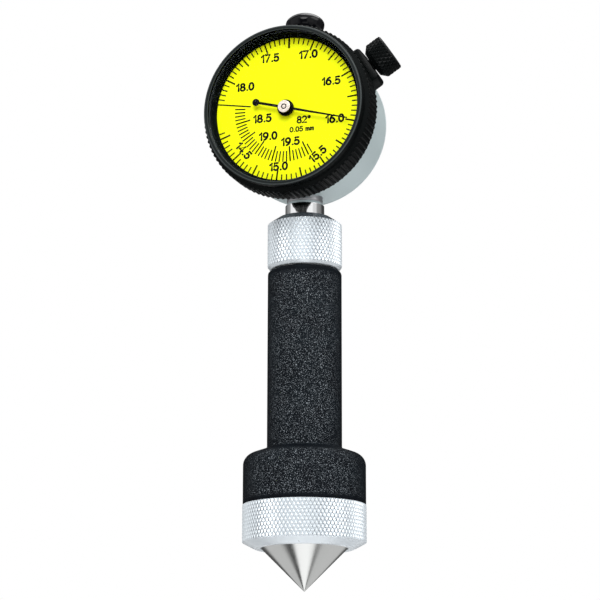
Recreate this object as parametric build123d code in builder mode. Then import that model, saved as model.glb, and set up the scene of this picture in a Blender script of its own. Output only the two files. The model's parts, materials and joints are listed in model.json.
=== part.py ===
from build123d import *
import os
from math import acos, atan2, cos, degrees, pi, radians, sin, sqrt, tan

# A countersink gauge, in millimetres. A spring-loaded cone stands out of a flat nose ring. Pressed into
# a countersunk hole until the ring lies on the work, the cone is pushed back, and the dial head in the
# top of the handle shows the diameter of the hole's rim.
# The origin is the centre of the nose ring's flat face. +Z runs up the handle, and the dial faces -Y.

# Fits between pieces
running_gap = 0.03  # radial clearance of a fit that turns or slides
end_gap = 0.1  # axial clearance beside a piece that turns
touch_gap = 0.01  # between the plunger and the contact point that rests on it

# Cone plunger
cone_angle = 90.0
reading_radius = 10.175  # the cone's radius in the plane of the nose face, at rest
land_step = 0.075  # the guide land's radius over the reading radius
land_height = 4.0
tip_radius = 0.12
shank_radius = 4.0
shank_end_chamfer = 0.5
plunger_travel = 3.3
over_travel = 1.2  # room above the plunger's head at full travel

# Nose ring
ring_bore_gap = 0.09  # radial, between the cone's land and the ring's bore
ring_face_width = 1.56
ring_wall = 2.24
ring_height = 10.3
ring_chamfer_height = 1.5
ring_lip_height = 3.6
ring_top_chamfer = 0.15

# Handle
cavity_gap = 0.75  # radial, between the cone's land and the cavity
spigot_wall = 1.5
flange_step = 0.09  # the nose ring's radius over the flange's
flange_rim_height = 11.44  # from the nose ring to where the flange's side would meet its top
flange_slope = 19.5  # degrees, of the flange's top
flange_corner_radius = 2.9
foot_fillet = 0.9
tube_wall = 2.07
tube_corner_radius = 1.8
collet_seat_depth = 14.3  # from the tube's top down to the collet's seat
collet_seat_width = 0.4

# Plunger guides, stop and spring
lower_bushing_length = 15.0
upper_bushing_length = 8.0
bushing_setback = 1.0  # from the upper bushing to the collet
clip_thickness = 1.0
clip_radius = 5.6
clip_groove_depth = 0.6
clip_mouth = 5.6
washer_thickness = 0.8
washer_gap = 0.4
plunger_wire = 0.7
plunger_spring_length = 18.615
plunger_spring_turns = 6

# Collet and clamp nut
collet_wall = 2.1075
collet_thread_step = 0.2
collet_drop = 2.1  # from the nut's top down to the collet's
collet_cone_height = 3.0
collet_cone_slope = 0.5  # radius lost for each millimetre of height
collet_slot = 1.0
collet_slot_depth = 16.6
nut_wall = 1.94
nut_gap = 0.3  # between the handle and the nut
nut_height = 13.1
nut_foot_chamfer = 0.6
nut_foot_chamfer_height = 1.2
nut_top_width = 0.74
nut_top_chamfer_height = 1.85
nut_stem_gap = 0.9

# Indicator stem and spindle
stem_radius = 9.525 / 2
stem_grip = 12.2  # length held in the collet
stem_show = 3.8  # from the nut to the case's boss
stem_thread_radius = 4.2
stem_thread_length = 4.0
stem_bore_radius = 3.4
stem_end_chamfer = 0.4
stem_bushing_length = 7.0
spindle_radius = 2.38
spindle_seat_drop = 0.11  # from the top boss down to the spring's seat on the spindle
spindle_spigot_radius = 0.9
spindle_spigot_length = 3.0
plunger_rise = 4.5  # the plunger's end above the collet's foot
contact_length = 6.49
contact_thread_radius = 1.1
contact_thread_length = 5.0
contact_radius = 2.2
contact_collar_length = 2.4
contact_ball_radius = 1.3

# Indicator case, back and top
case_radius = 19.24
case_wall = 1.4
case_front_room = 1.4  # from the front plate to the case's open rim
back_thickness = 1.03
case_back_edge_radius = 0.6
back_ledge_width = 2.84
back_ledge_thickness = 1.4
stem_boss_radius = 5.1
stem_boss_drop = 0.93  # below the case's rim
top_boss_radius = 4.4
top_boss_height = 0.7  # above the case's rim
top_boss_length = 4.3
top_bushing_radius = 3.2
top_bushing_height = 2.4  # above the top boss
back_screw_radius = 0.8
back_screw_head_radius = 1.6
back_screw_angle = 55.0  # above and below the level through the dial's centre

# Cap over the spindle
cap_wall = 0.5
cap_neck_height = 4.0
cap_overhang = 1.15
cap_widest = 6.9  # above the top boss
cap_rim_height = 1.1
cap_crown_height = 1.2
cap_edge_round = 1.4
cap_cavity_gap = 0.32
cap_cavity_height = 7.4
spindle_wire = 0.35
spindle_spring_turns = 5

# Bezel, crystal and dial plate
bezel_sleeve = 4.76  # the length that turns on the case
bezel_wall = 1.93
bezel_lip_setback = 0.73
bezel_lip_step = 0.5
bezel_lip_width = 1.15
bezel_lip_height = 0.4  # in front of the crystal
bezel_lip_round = 1.0
bezel_rear_chamfer = 0.16
coin_teeth = 100
coin_depth = 0.3
coin_length = 6.2
coin_rear_margin = 0.36
coin_crest = 0.42  # share of a tooth's pitch
coin_floor = 0.22
crystal_lip = 0.15
crystal_seat_width = 0.5
crystal_thickness = 1.0
crystal_clearance = 0.14  # between the pointer's hub and the crystal
dial_window_setback = 1.5
dial_window_thickness = 0.54
dial_seat_width = 0.65
dial_seat_depth = 0.71  # between the bezel's shoulder and the dial plate
dial_thickness = 0.4
dial_hole_radius = 1.2
dial_ring_width = 0.5
dial_ring_gap = 2.0
snap_ring_setback = 1.96  # from the bezel's rear edge
snap_ring_width = 0.6
snap_ring_inner_depth = 0.29
snap_ring_outer_depth = 0.32
snap_ring_gap = 3.0

# Bezel clamp
clamp_angle = 32.5
clamp_gap = 0.19  # between the bezel and the block
clamp_width = 9.6
clamp_length = 5.5
clamp_height = 3.06
clamp_corner = 1.0
clamp_screw_radius = 1.5
clamp_screw_depth = 0.94  # in the case's wall
knob_gap = 0.34
knob_radius = 4.66
knob_base_radius = 3.19
knob_taper_length = 1.43
knob_knurl_length = 3.87
knob_end_chamfer = 0.3

# Movement
gear_module = 0.2
pressure_angle = 20.0
rack_pinion_teeth = 15
drive_gear_teeth = 65
centre_pinion_teeth = 15
take_up_gear_teeth = 50
tooth_backlash = 0.07  # share of the pitch
addendum = 0.95  # in modules
dedendum = 1.25
rack_teeth = 9
rack_flat_height = 9.4
pinion_length = 2.6
centre_pinion_length = 4.0
gear_thickness = 0.8
drive_gear_setback = 1.4  # from the middle plate
take_up_gear_setback = 4.2
take_up_angle = 45.0
arbor_radius = 0.6
pivot_radius = 0.4
plate_thickness = 1.0
plate_width = 26.0
plate_height = 18.5
plate_corner = 2.0
spindle_rear_room = 0.52  # between the spindle and the rear plate
spindle_front_room = 0.82
gear_room = 6.0  # between the middle plate and the front plate
pillar_radius = 1.1
pillar_spacing_x = 22.4
pillar_spacing_z = 14.6
rear_plate_gap = 0.24
rear_plate_cut = 4.24  # from the case's inner wall to the plate's flat edges
plate_screw_radius = 0.6
plate_screw_head_radius = 1.1
plate_screw_head = 0.6
plate_screw_length = 2.0
rear_screw_angle = 25.0  # above and below the level through the dial's centre
rear_screw_length = 1.2
guide_pin_radius = 0.6
guide_pin_height = 6.4  # above the dial's centre
guide_pin_length = 6.6
hairspring_turns = 3
hairspring_inner_radius = 1.0
hairspring_outer_radius = 3.4
hairspring_thickness = 0.14
hairspring_width = 0.5
hairspring_setback = 2.7  # from the middle plate
hairspring_stud_radius = 0.35

# Pointer
pointer_angle = -15.07
pointer_length = 16.2
pointer_tail = 7.73
pointer_ball_radius = 0.87
pointer_root_width = 0.56
pointer_tip_width = 0.18
pointer_thickness = 0.16
pointer_height = 1.19  # above the dial's face
hub_radius = 2.0
hub_length = 0.8
hub_cap_radius = 1.55
hub_cap_length = 0.8

# Radii of the cone, the nose ring and the handle's foot
cone_slope = tan(radians(cone_angle / 2))
land_radius = reading_radius + land_step
ring_bore_radius = land_radius + ring_bore_gap
ring_face_radius = ring_bore_radius + ring_face_width
cavity_radius = land_radius + cavity_gap
spigot_radius = cavity_radius + spigot_wall
ring_radius = spigot_radius + ring_wall
flange_radius = ring_radius - flange_step

# Radii that follow from the indicator's stem
collet_bore_radius = stem_radius + running_gap
collet_body_radius = stem_radius + collet_wall + running_gap
collet_thread_radius = collet_body_radius + collet_thread_step
handle_bore_radius = collet_body_radius - collet_seat_width
tube_radius = collet_body_radius + tube_wall
nut_thread_radius = collet_thread_radius + running_gap
nut_radius = nut_thread_radius + nut_wall
nut_hole_radius = stem_radius + nut_stem_gap
nut_top_radius = nut_hole_radius + nut_top_width
washer_radius = handle_bore_radius - washer_gap
plunger_spring_radius = (shank_radius + handle_bore_radius) / 2

# Heights, from the cone's tip up to the cap
cone_tip = -reading_radius / cone_slope
land_base = land_step / cone_slope
head_top = land_base + land_height
cavity_top = head_top + plunger_travel + over_travel
lower_bushing_top = cavity_top + lower_bushing_length
clip_base = lower_bushing_top + touch_gap
washer_base = clip_base + clip_thickness
plunger_spring_base = washer_base + washer_thickness
upper_bushing_base = plunger_spring_base + plunger_spring_length
flange_rim = ring_height + flange_rim_height
flange_top = flange_rim + (flange_radius - tube_radius) * tan(radians(flange_slope))
collet_base = upper_bushing_base + upper_bushing_length + bushing_setback
tube_top = collet_base + collet_seat_depth
nut_base = tube_top + nut_gap
nut_top = nut_base + nut_height
collet_top = nut_top - collet_drop
collet_cone_base = collet_top - collet_cone_height
collet_slot_base = collet_top - collet_slot_depth
plunger_top = collet_base + plunger_rise
contact_tip = plunger_top + touch_gap
spindle_base = contact_tip + contact_length
stem_base = collet_top - stem_grip
stem_shoulder = nut_top + stem_show
head_height = stem_shoulder + stem_boss_drop + case_radius
top_seat = head_height + case_radius + top_boss_height
spindle_top = top_seat - spindle_seat_drop

# Depths, from the spindle's axis out to the case's back and to the bezel's lip
rear_plate_front = spindle_radius + spindle_rear_room
rear_plate_depth = rear_plate_front + plate_thickness
case_seam = rear_plate_depth + back_ledge_thickness
case_back_face = case_seam + back_thickness
middle_plate_depth = -spindle_radius - spindle_front_room
middle_plate_front = middle_plate_depth - plate_thickness
front_plate_depth = middle_plate_front - gear_room
front_plate_front = front_plate_depth - plate_thickness
drive_gear_depth = middle_plate_front - drive_gear_setback
take_up_gear_depth = middle_plate_front - take_up_gear_setback
hairspring_depth = middle_plate_front - hairspring_setback
case_front = front_plate_front - case_front_room
bezel_rear = case_front + bezel_sleeve
bezel_shoulder = case_front - end_gap
snap_ring_depth = bezel_rear - snap_ring_setback
coin_rear = bezel_rear - coin_rear_margin
coin_front = coin_rear - coin_length
dial_rear = bezel_shoulder - dial_seat_depth
dial_face = dial_rear - dial_thickness
dial_window_front = dial_face - dial_window_thickness
pointer_depth = dial_face - pointer_height
hub_front = pointer_depth - pointer_thickness - hub_cap_length
crystal_rear = hub_front - crystal_clearance
crystal_front = crystal_rear - crystal_thickness
bezel_front = crystal_front - bezel_lip_height

# Radii of the case, the bezel and what it holds
case_inner_radius = case_radius - case_wall
ledge_inner_radius = case_inner_radius - back_ledge_width
ledge_screw_radius = case_inner_radius - back_ledge_width / 2
bezel_bore_radius = case_radius + 2 * running_gap
bezel_radius = bezel_bore_radius + bezel_wall
coin_root_radius = bezel_radius - coin_depth
bezel_lip_radius = bezel_radius - bezel_lip_setback
bezel_lip_inner_radius = bezel_lip_radius - bezel_lip_width
crystal_radius = bezel_lip_inner_radius - crystal_lip
crystal_ledge_radius = crystal_radius - crystal_seat_width
dial_window_radius = crystal_radius - dial_window_setback
dial_radius = dial_window_radius + dial_seat_width
snap_ring_inner_radius = case_radius - snap_ring_inner_depth
snap_ring_outer_radius = bezel_bore_radius + snap_ring_outer_depth
cap_neck_radius = top_bushing_radius + cap_wall
cap_radius = cap_neck_radius + cap_overhang
cap_cavity_radius = spindle_radius + cap_cavity_gap
spindle_spring_radius = (spindle_spigot_radius + cap_cavity_radius) / 2

# The bezel clamp, along its own axis from the dial's centre line
clamp_depth = bezel_rear + clamp_gap + clamp_length / 2
clamp_radius = case_radius + clamp_height
clamp_screw_end = case_radius - clamp_screw_depth
knob_base = clamp_radius + knob_gap
knob_knurl_base = knob_base + knob_taper_length
knob_end = knob_knurl_base + knob_knurl_length

# Places of the gear train
rack_pinion_radius = gear_module * rack_pinion_teeth / 2
drive_gear_radius = gear_module * drive_gear_teeth / 2
centre_pinion_radius = gear_module * centre_pinion_teeth / 2
take_up_gear_radius = gear_module * take_up_gear_teeth / 2
rack_pitch_line = 1.5  # from the spindle's axis
drive_x = -rack_pitch_line - rack_pinion_radius
drive_z = head_height - sqrt((drive_gear_radius + centre_pinion_radius) ** 2 - drive_x**2)
take_up_distance = take_up_gear_radius + centre_pinion_radius
take_up_x = take_up_distance * cos(radians(take_up_angle))
take_up_z = head_height + take_up_distance * sin(radians(take_up_angle))

head_axis = Axis((0, 0, head_height), (0, 1, 0))
head_section = Plane.XY.offset(head_height)  # radius along X, depth along Y
clamp_centre = (0, clamp_depth, head_height)
clamp_outward = (cos(radians(clamp_angle)), 0, sin(radians(clamp_angle)))
clamp_sideways = (sin(radians(clamp_angle)), 0, -cos(radians(clamp_angle)))
clamp_axis = Axis(clamp_centre, clamp_outward)
clamp_plane = Plane(origin=clamp_centre, x_dir=(0, 1, 0), z_dir=clamp_outward)
clamp_section = Plane(origin=clamp_centre, x_dir=(0, 1, 0), z_dir=clamp_sideways)
back_plane = Plane(origin=(0, case_back_face, head_height), x_dir=(-1, 0, 0), z_dir=(0, 1, 0))


def front_plane(depth, x=0.0, z=head_height, turn=0.0):
    """A plane that faces the reader of the dial, with X to the right and Z up at no turn."""
    across = (cos(radians(turn)), 0, sin(radians(turn)))
    return Plane(origin=(x, depth, z), x_dir=across, z_dir=(0, -1, 0))


def ledge_places(angle):
    """Four places in the middle of the case's ledge, at an angle above and below its centre."""
    across = 2 * ledge_screw_radius * cos(radians(angle))
    up = 2 * ledge_screw_radius * sin(radians(angle))
    return GridLocations(across, up, 2, 2)


def ring_points(inner, outer, low, high):
    """The corners of a plain ring's half section."""
    return [(inner, low), (outer, low), (outer, high), (inner, high)]


def tooth_half_angle(teeth, radius):
    """Half of an involute tooth's angle at a radius, in radians."""
    pitch_radius = gear_module * teeth / 2
    base_radius = pitch_radius * cos(radians(pressure_angle))
    turn = acos(min(1.0, base_radius / max(radius, base_radius)))
    pitch_turn = radians(pressure_angle)
    rolled = (tan(pitch_turn) - pitch_turn) - (tan(turn) - turn)
    return pi / 2 / teeth * (1 - 2 * tooth_backlash) + rolled


def gear_points(teeth, first_tooth, flank_steps):
    """The outline of a gear with one tooth at the angle first_tooth, in degrees."""
    pitch_radius = gear_module * teeth / 2
    root = pitch_radius - dedendum * gear_module
    tip = pitch_radius + addendum * gear_module
    base = max(root, pitch_radius * cos(radians(pressure_angle)))
    radii = [root] + [base + (tip - base) * i / flank_steps for i in range(flank_steps + 1)]
    if base - root < 0.02 * gear_module:
        radii = radii[1:]
    points = []
    for tooth in range(teeth):
        middle = radians(first_tooth) + 2 * pi * tooth / teeth
        rising = [(r, middle - tooth_half_angle(teeth, r)) for r in radii]
        falling = [(r, 2 * middle - turn) for r, turn in reversed(rising)]
        points += [(r * cos(turn), r * sin(turn)) for r, turn in rising + falling]
    return points


def mating_tooth(line_angle, driver_tooth, driver_teeth, follower_teeth):
    """The angle of one tooth of a gear in mesh with a driver, all in degrees.

    line_angle points from the driver's centre to the follower's.
    """
    offset = driver_tooth - line_angle
    gap = line_angle + 180 - offset * driver_teeth / follower_teeth
    return gap + 180 / follower_teeth


def coin_points():
    """The outline of the bezel's coin edge, seen along the dial's axis."""
    pitch = 2 * pi / coin_teeth
    flank = (1 - coin_crest - coin_floor) / 2
    corners = [
        (bezel_radius, -coin_crest / 2),
        (bezel_radius, coin_crest / 2),
        (coin_root_radius, coin_crest / 2 + flank),
        (coin_root_radius, coin_crest / 2 + flank + coin_floor),
    ]
    points = []
    for tooth in range(coin_teeth):
        for radius, share in corners:
            turn = pitch * (tooth + share)
            points.append((radius * cos(turn), radius * sin(turn)))
    return points


def corner(x, y):
    """The corner of the sketch being drawn that lies nearest to x, y."""
    return vertices().sort_by_distance((x, y))[0]


# Nose ring: the flat reference face with the hole that the cone comes through
with BuildPart() as nose_ring:
    with BuildSketch(Plane.XZ):
        with BuildLine():
            Polyline(
                (ring_bore_radius, 0),
                (ring_face_radius, 0),
                (ring_radius, ring_chamfer_height),
                (ring_radius, ring_height - ring_top_chamfer),
                (ring_radius - ring_top_chamfer, ring_height),
                (spigot_radius, ring_height),
                (spigot_radius, ring_lip_height),
                (ring_bore_radius, ring_lip_height),
                close=True,
            )
        make_face()
    revolve(axis=Axis.Z)
nose_ring.part.label = "nose_ring"

# Handle: spigot, wide foot and grip tube in one turning
spigot_base = ring_lip_height + end_gap
flange_base = ring_height + touch_gap
with BuildPart() as handle_body:
    with BuildSketch(Plane.XZ):
        with BuildLine():
            Polyline(
                (cavity_radius, spigot_base),
                (spigot_radius - running_gap, spigot_base),
                (spigot_radius - running_gap, flange_base),
                (flange_radius, flange_base),
                (flange_radius, flange_rim),
                (tube_radius, flange_top),
                (tube_radius, tube_top),
                (collet_body_radius, tube_top),
                (collet_body_radius, collet_base),
                (handle_bore_radius, collet_base),
                (handle_bore_radius, cavity_top),
                (cavity_radius, cavity_top),
                close=True,
            )
        make_face()
        fillet(corner(flange_radius, flange_rim), radius=flange_corner_radius)
        fillet(corner(tube_radius, flange_top), radius=foot_fillet)
        fillet(corner(tube_radius, tube_top), radius=tube_corner_radius)
    revolve(axis=Axis.Z)
handle_body.part.label = "handle_body"

# Cone plunger: hardened cone, guide land and shank, with a groove for the clip
with BuildPart() as plunger:
    with BuildSketch(Plane.XZ):
        with BuildLine():
            Polyline(
                (0, cone_tip + tip_radius),
                (tip_radius, cone_tip + tip_radius / cone_slope),
                (land_radius, land_base),
                (land_radius, head_top),
                (shank_radius, head_top),
                (shank_radius, clip_base),
                (shank_radius - clip_groove_depth, clip_base),
                (shank_radius - clip_groove_depth, washer_base),
                (shank_radius, washer_base),
                (shank_radius, plunger_top - shank_end_chamfer),
                (shank_radius - shank_end_chamfer, plunger_top),
                (0, plunger_top),
                close=True,
            )
        make_face()
    revolve(axis=Axis.Z)
plunger.part.label = "plunger"

# Clip in the shank's groove: it lands on the lower bushing and keeps the cone from falling out
clip_inner_radius = shank_radius - clip_groove_depth
with BuildPart() as plunger_clip:
    with BuildSketch(Plane.XY.offset(clip_base)):
        Circle(clip_radius)
        Circle(clip_inner_radius, mode=Mode.SUBTRACT)
        with Locations((0, -clip_radius / 2)):
            Rectangle(clip_mouth, clip_radius, mode=Mode.SUBTRACT)
    extrude(amount=clip_thickness)
plunger_clip.part.label = "plunger_clip"

with BuildPart() as spring_washer:
    with BuildSketch(Plane.XY.offset(washer_base)):
        Circle(washer_radius)
        Circle(shank_radius, mode=Mode.SUBTRACT)
    extrude(amount=washer_thickness)
spring_washer.part.label = "spring_washer"

# Guide bushings pressed into the handle's bore
guide_radius = shank_radius + running_gap
with BuildPart() as lower_bushing:
    with BuildSketch(Plane.XY.offset(cavity_top)):
        Circle(handle_bore_radius)
        Circle(guide_radius, mode=Mode.SUBTRACT)
    extrude(amount=lower_bushing_length)
lower_bushing.part.label = "lower_bushing"

with BuildPart() as upper_bushing:
    with BuildSketch(Plane.XY.offset(upper_bushing_base)):
        Circle(handle_bore_radius)
        Circle(guide_radius, mode=Mode.SUBTRACT)
    extrude(amount=upper_bushing_length)
upper_bushing.part.label = "upper_bushing"


def coil_height(low, high, wire):
    """The height of a spring's centre line between its two seats."""
    return high - low - wire


def wire_plane(radius, height):
    """The plane across a spring's wire where the coil starts."""
    return Plane(origin=(radius, 0, height), x_dir=(1, 0, 0), z_dir=(0, -1, 0))


# Plunger spring: a compression coil of square wire between the washer and the upper bushing
plunger_spring_height = coil_height(plunger_spring_base, upper_bushing_base, plunger_wire)
with BuildPart() as plunger_spring:
    with BuildLine():
        Helix(
            pitch=plunger_spring_height / plunger_spring_turns,
            height=plunger_spring_height,
            radius=plunger_spring_radius,
            center=(0, 0, plunger_spring_base + plunger_wire / 2),
        )
    with BuildSketch(wire_plane(plunger_spring_radius, plunger_spring_base + plunger_wire / 2)):
        Rectangle(plunger_wire, plunger_wire)
    sweep(is_frenet=True)
plunger_spring.part.label = "plunger_spring"

# Split collet: threaded outside, slotted from the top, and pressed into the handle
collet_foot = tube_top
with BuildPart() as split_collet:
    with BuildSketch(Plane.XZ):
        with BuildLine():
            Polyline(
                (collet_bore_radius, collet_base),
                (collet_body_radius, collet_base),
                (collet_body_radius, collet_foot),
                (collet_thread_radius, collet_foot),
                (collet_thread_radius, collet_cone_base),
                (collet_thread_radius - collet_cone_slope * (collet_top - collet_cone_base), collet_top),
                (collet_bore_radius, collet_top),
                close=True,
            )
        make_face()
    revolve(axis=Axis.Z)
    slot_height = collet_top - collet_slot_base
    with Locations((0, 0, collet_slot_base + slot_height / 2)):
        Box(4 * collet_thread_radius, collet_slot, slot_height, mode=Mode.SUBTRACT)
        Box(collet_slot, 4 * collet_thread_radius, slot_height, mode=Mode.SUBTRACT)
split_collet.part.label = "split_collet"

# Clamp nut: its inner cone squeezes the collet on the indicator's stem
nut_cone_top = collet_cone_base + (nut_thread_radius - nut_hole_radius) / collet_cone_slope
with BuildPart() as clamp_nut:
    with BuildSketch(Plane.XZ):
        with BuildLine():
            Polyline(
                (nut_thread_radius, nut_base),
                (nut_radius - nut_foot_chamfer, nut_base),
                (nut_radius, nut_base + nut_foot_chamfer_height),
                (nut_radius, nut_top - nut_top_chamfer_height),
                (nut_top_radius, nut_top),
                (nut_hole_radius, nut_top),
                (nut_hole_radius, nut_cone_top),
                (nut_thread_radius, collet_cone_base),
                close=True,
            )
        make_face()
    revolve(axis=Axis.Z)
clamp_nut.part.label = "clamp_nut"

# Indicator stem, screwed into the case, with a bushing for the spindle
stem_top = stem_shoulder + stem_thread_length
with BuildPart() as indicator_stem:
    with BuildSketch(Plane.XZ):
        with BuildLine():
            Polyline(
                (stem_bore_radius, stem_base),
                (stem_radius - stem_end_chamfer, stem_base),
                (stem_radius, stem_base + stem_end_chamfer),
                (stem_radius, stem_shoulder),
                (stem_thread_radius, stem_shoulder),
                (stem_thread_radius, stem_top),
                (stem_bore_radius, stem_top),
                close=True,
            )
        make_face()
    revolve(axis=Axis.Z)
indicator_stem.part.label = "indicator_stem"

spindle_guide_radius = spindle_radius + running_gap
with BuildPart() as stem_bushing:
    with BuildSketch(Plane.XY.offset(stem_base)):
        Circle(stem_bore_radius)
        Circle(spindle_guide_radius, mode=Mode.SUBTRACT)
    extrude(amount=stem_bushing_length)
stem_bushing.part.label = "stem_bushing"

# Spindle: its rack faces the pinion, on the side away from +X
rack_pitch = pi * gear_module
rack_crest_x = -rack_pitch_line - addendum * gear_module
rack_root_x = -rack_pitch_line + dedendum * gear_module
rack_middle = drive_z - plunger_travel / 2
guide_pin_z = head_height + guide_pin_height
with BuildPart() as spindle:
    with BuildSketch(Plane.XZ):
        with BuildLine():
            Polyline(
                (0, spindle_base),
                (spindle_radius, spindle_base),
                (spindle_radius, spindle_top),
                (spindle_spigot_radius, spindle_top),
                (spindle_spigot_radius, spindle_top + spindle_spigot_length),
                (0, spindle_top + spindle_spigot_length),
                close=True,
            )
        make_face()
    revolve(axis=Axis.Z)
    with BuildSketch(Plane.XY.offset(spindle_base)):
        Circle(contact_thread_radius)
    extrude(amount=contact_thread_length, mode=Mode.SUBTRACT)
    with BuildSketch(Plane.XZ.offset(-guide_pin_length)):
        with Locations((0, guide_pin_z)):
            Circle(guide_pin_radius)
    extrude(amount=2 * guide_pin_length, mode=Mode.SUBTRACT)
    with Locations((rack_crest_x - spindle_radius, 0, rack_middle)):
        Box(2 * spindle_radius, 2 * spindle_radius, rack_flat_height, mode=Mode.SUBTRACT)
    rack_slope = tan(radians(pressure_angle))
    space_half = rack_pitch / 4 * (1 + 2 * tooth_backlash)
    mouth_half = space_half + addendum * gear_module * rack_slope
    floor_half = space_half - dedendum * gear_module * rack_slope
    with BuildSketch(Plane.XZ.offset(-spindle_radius)):
        for space in range(rack_teeth):
            z = drive_z + rack_pitch * (1 - space)
            with BuildLine():
                Polyline(
                    (rack_crest_x, z - mouth_half),
                    (rack_root_x, z - floor_half),
                    (rack_root_x, z + floor_half),
                    (rack_crest_x, z + mouth_half),
                    close=True,
                )
            make_face()
    extrude(amount=2 * spindle_radius, mode=Mode.SUBTRACT)
spindle.part.label = "spindle"

ball_centre = contact_tip + contact_ball_radius
with BuildPart() as contact_point:
    with BuildSketch(Plane.XZ):
        with BuildLine():
            Line((0, contact_tip), (0, spindle_base + contact_thread_length))
            Polyline(
                (0, spindle_base + contact_thread_length),
                (contact_thread_radius, spindle_base + contact_thread_length),
                (contact_thread_radius, spindle_base),
                (contact_radius, spindle_base),
                (contact_radius, spindle_base - contact_collar_length),
                (contact_ball_radius, ball_centre),
            )
            RadiusArc((contact_ball_radius, ball_centre), (0, contact_tip), contact_ball_radius)
        make_face()
    revolve(axis=Axis.Z)
contact_point.part.label = "contact_point"

# Guide pin: it runs in a slot of the rear plate and keeps the rack in line with its pinion
with BuildPart() as guide_pin:
    with BuildSketch(Plane.XZ.offset(spindle_radius)):
        with Locations((0, guide_pin_z)):
            Circle(guide_pin_radius)
    extrude(amount=-guide_pin_length)
guide_pin.part.label = "guide_pin"

# Indicator case: an open barrel with a ledge for the back and bosses for stem and cap
stem_boss_height = stem_top - stem_shoulder
top_boss_base = top_seat - top_boss_length
with BuildPart() as indicator_case:
    with BuildSketch(front_plane(case_seam)):
        Circle(case_radius)
    extrude(amount=case_seam - case_front)
    with BuildSketch(front_plane(rear_plate_depth)):
        Circle(case_inner_radius)
    extrude(amount=rear_plate_depth - case_front, mode=Mode.SUBTRACT)
    with BuildSketch(front_plane(case_seam)):
        Circle(ledge_inner_radius)
    extrude(amount=case_seam - rear_plate_depth, mode=Mode.SUBTRACT)
    with BuildSketch(Plane.XY.offset(stem_shoulder)):
        Circle(stem_boss_radius)
    extrude(amount=stem_boss_height)
    with BuildSketch(Plane.XY.offset(top_boss_base)):
        Circle(top_boss_radius)
    extrude(amount=top_boss_length)
    with BuildSketch(Plane.XY.offset(stem_shoulder)):
        Circle(stem_thread_radius)
    extrude(amount=stem_boss_height, mode=Mode.SUBTRACT)
    with BuildSketch(Plane.XY.offset(top_boss_base)):
        Circle(top_bushing_radius)
    extrude(amount=top_boss_length, mode=Mode.SUBTRACT)
    with BuildSketch(head_section):
        with BuildLine():
            Polyline(
                *ring_points(
                    snap_ring_inner_radius - running_gap,
                    bezel_radius,
                    snap_ring_depth - snap_ring_width / 2 - end_gap / 2,
                    snap_ring_depth + snap_ring_width / 2 + end_gap / 2,
                ),
                close=True,
            )
        make_face()
    revolve(axis=head_axis, mode=Mode.SUBTRACT)
    with BuildSketch(back_plane):
        with ledge_places(back_screw_angle):
            Circle(back_screw_radius)
    extrude(amount=rear_plate_depth - case_back_face, mode=Mode.SUBTRACT)
    with BuildSketch(front_plane(rear_plate_depth + rear_screw_length)):
        with ledge_places(rear_screw_angle):
            Circle(plate_screw_radius)
    extrude(amount=rear_screw_length, mode=Mode.SUBTRACT)
    with BuildSketch(clamp_plane.offset(clamp_screw_end)):
        Circle(clamp_screw_radius + running_gap)
    extrude(amount=clamp_radius - clamp_screw_end, mode=Mode.SUBTRACT)
indicator_case.part.label = "indicator_case"

# Case back with four countersunk screws
with BuildPart() as case_back:
    with BuildSketch(front_plane(case_back_face)):
        Circle(case_radius)
    extrude(amount=case_back_face - case_seam)
    fillet(edges().group_by(Axis.Y)[-1], radius=case_back_edge_radius)
    with Locations(back_plane):
        with ledge_places(back_screw_angle):
            CounterSinkHole(back_screw_radius, back_screw_head_radius, counter_sink_angle=90)
case_back.part.label = "case_back"

back_screw_cone = back_screw_head_radius - back_screw_radius
with BuildPart() as case_back_screws:
    with BuildSketch(back_plane):
        with ledge_places(back_screw_angle):
            Circle(back_screw_head_radius)
    extrude(amount=-back_screw_cone, taper=45)
    with BuildSketch(back_plane.offset(-back_screw_cone)):
        with ledge_places(back_screw_angle):
            Circle(back_screw_radius)
    extrude(amount=back_screw_cone + rear_plate_depth - case_back_face)
case_back_screws.part.label = "case_back_screws"

# Bushing and cap over the top of the spindle
top_bushing_top = top_seat + top_bushing_height
with BuildPart() as top_bushing:
    with BuildSketch(Plane.XY.offset(top_boss_base)):
        Circle(top_bushing_radius)
        Circle(spindle_guide_radius, mode=Mode.SUBTRACT)
    extrude(amount=top_bushing_top - top_boss_base)
top_bushing.part.label = "top_bushing"

cap_wide_z = top_seat + cap_widest
cap_edge_z = cap_wide_z + cap_rim_height
cap_top = cap_edge_z + cap_crown_height
cap_neck_top = top_seat + cap_neck_height
cap_cavity_top = top_seat + cap_cavity_height
with BuildPart() as spindle_cap:
    with BuildSketch(Plane.XZ):
        with BuildLine():
            Polyline(
                (0, cap_top),
                (0, cap_cavity_top),
                (cap_cavity_radius, cap_cavity_top),
                (cap_cavity_radius, top_bushing_top),
                (top_bushing_radius, top_bushing_top),
                (top_bushing_radius, top_seat),
                (cap_neck_radius, top_seat),
                (cap_neck_radius, cap_neck_top),
            )
            shoulder = [(cap_neck_radius, cap_neck_top), (cap_radius, cap_wide_z)]
            TangentArc(shoulder, tangent=(0, -1), tangent_from_first=False)
            Line((cap_radius, cap_wide_z), (cap_radius, cap_edge_z))
            crown = [(0, cap_top), (cap_radius, cap_edge_z)]
            TangentArc(crown, tangent=(1, 0))
        make_face()
        fillet(corner(cap_radius, cap_edge_z), radius=cap_edge_round)
    revolve(axis=Axis.Z)
spindle_cap.part.label = "spindle_cap"

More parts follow.
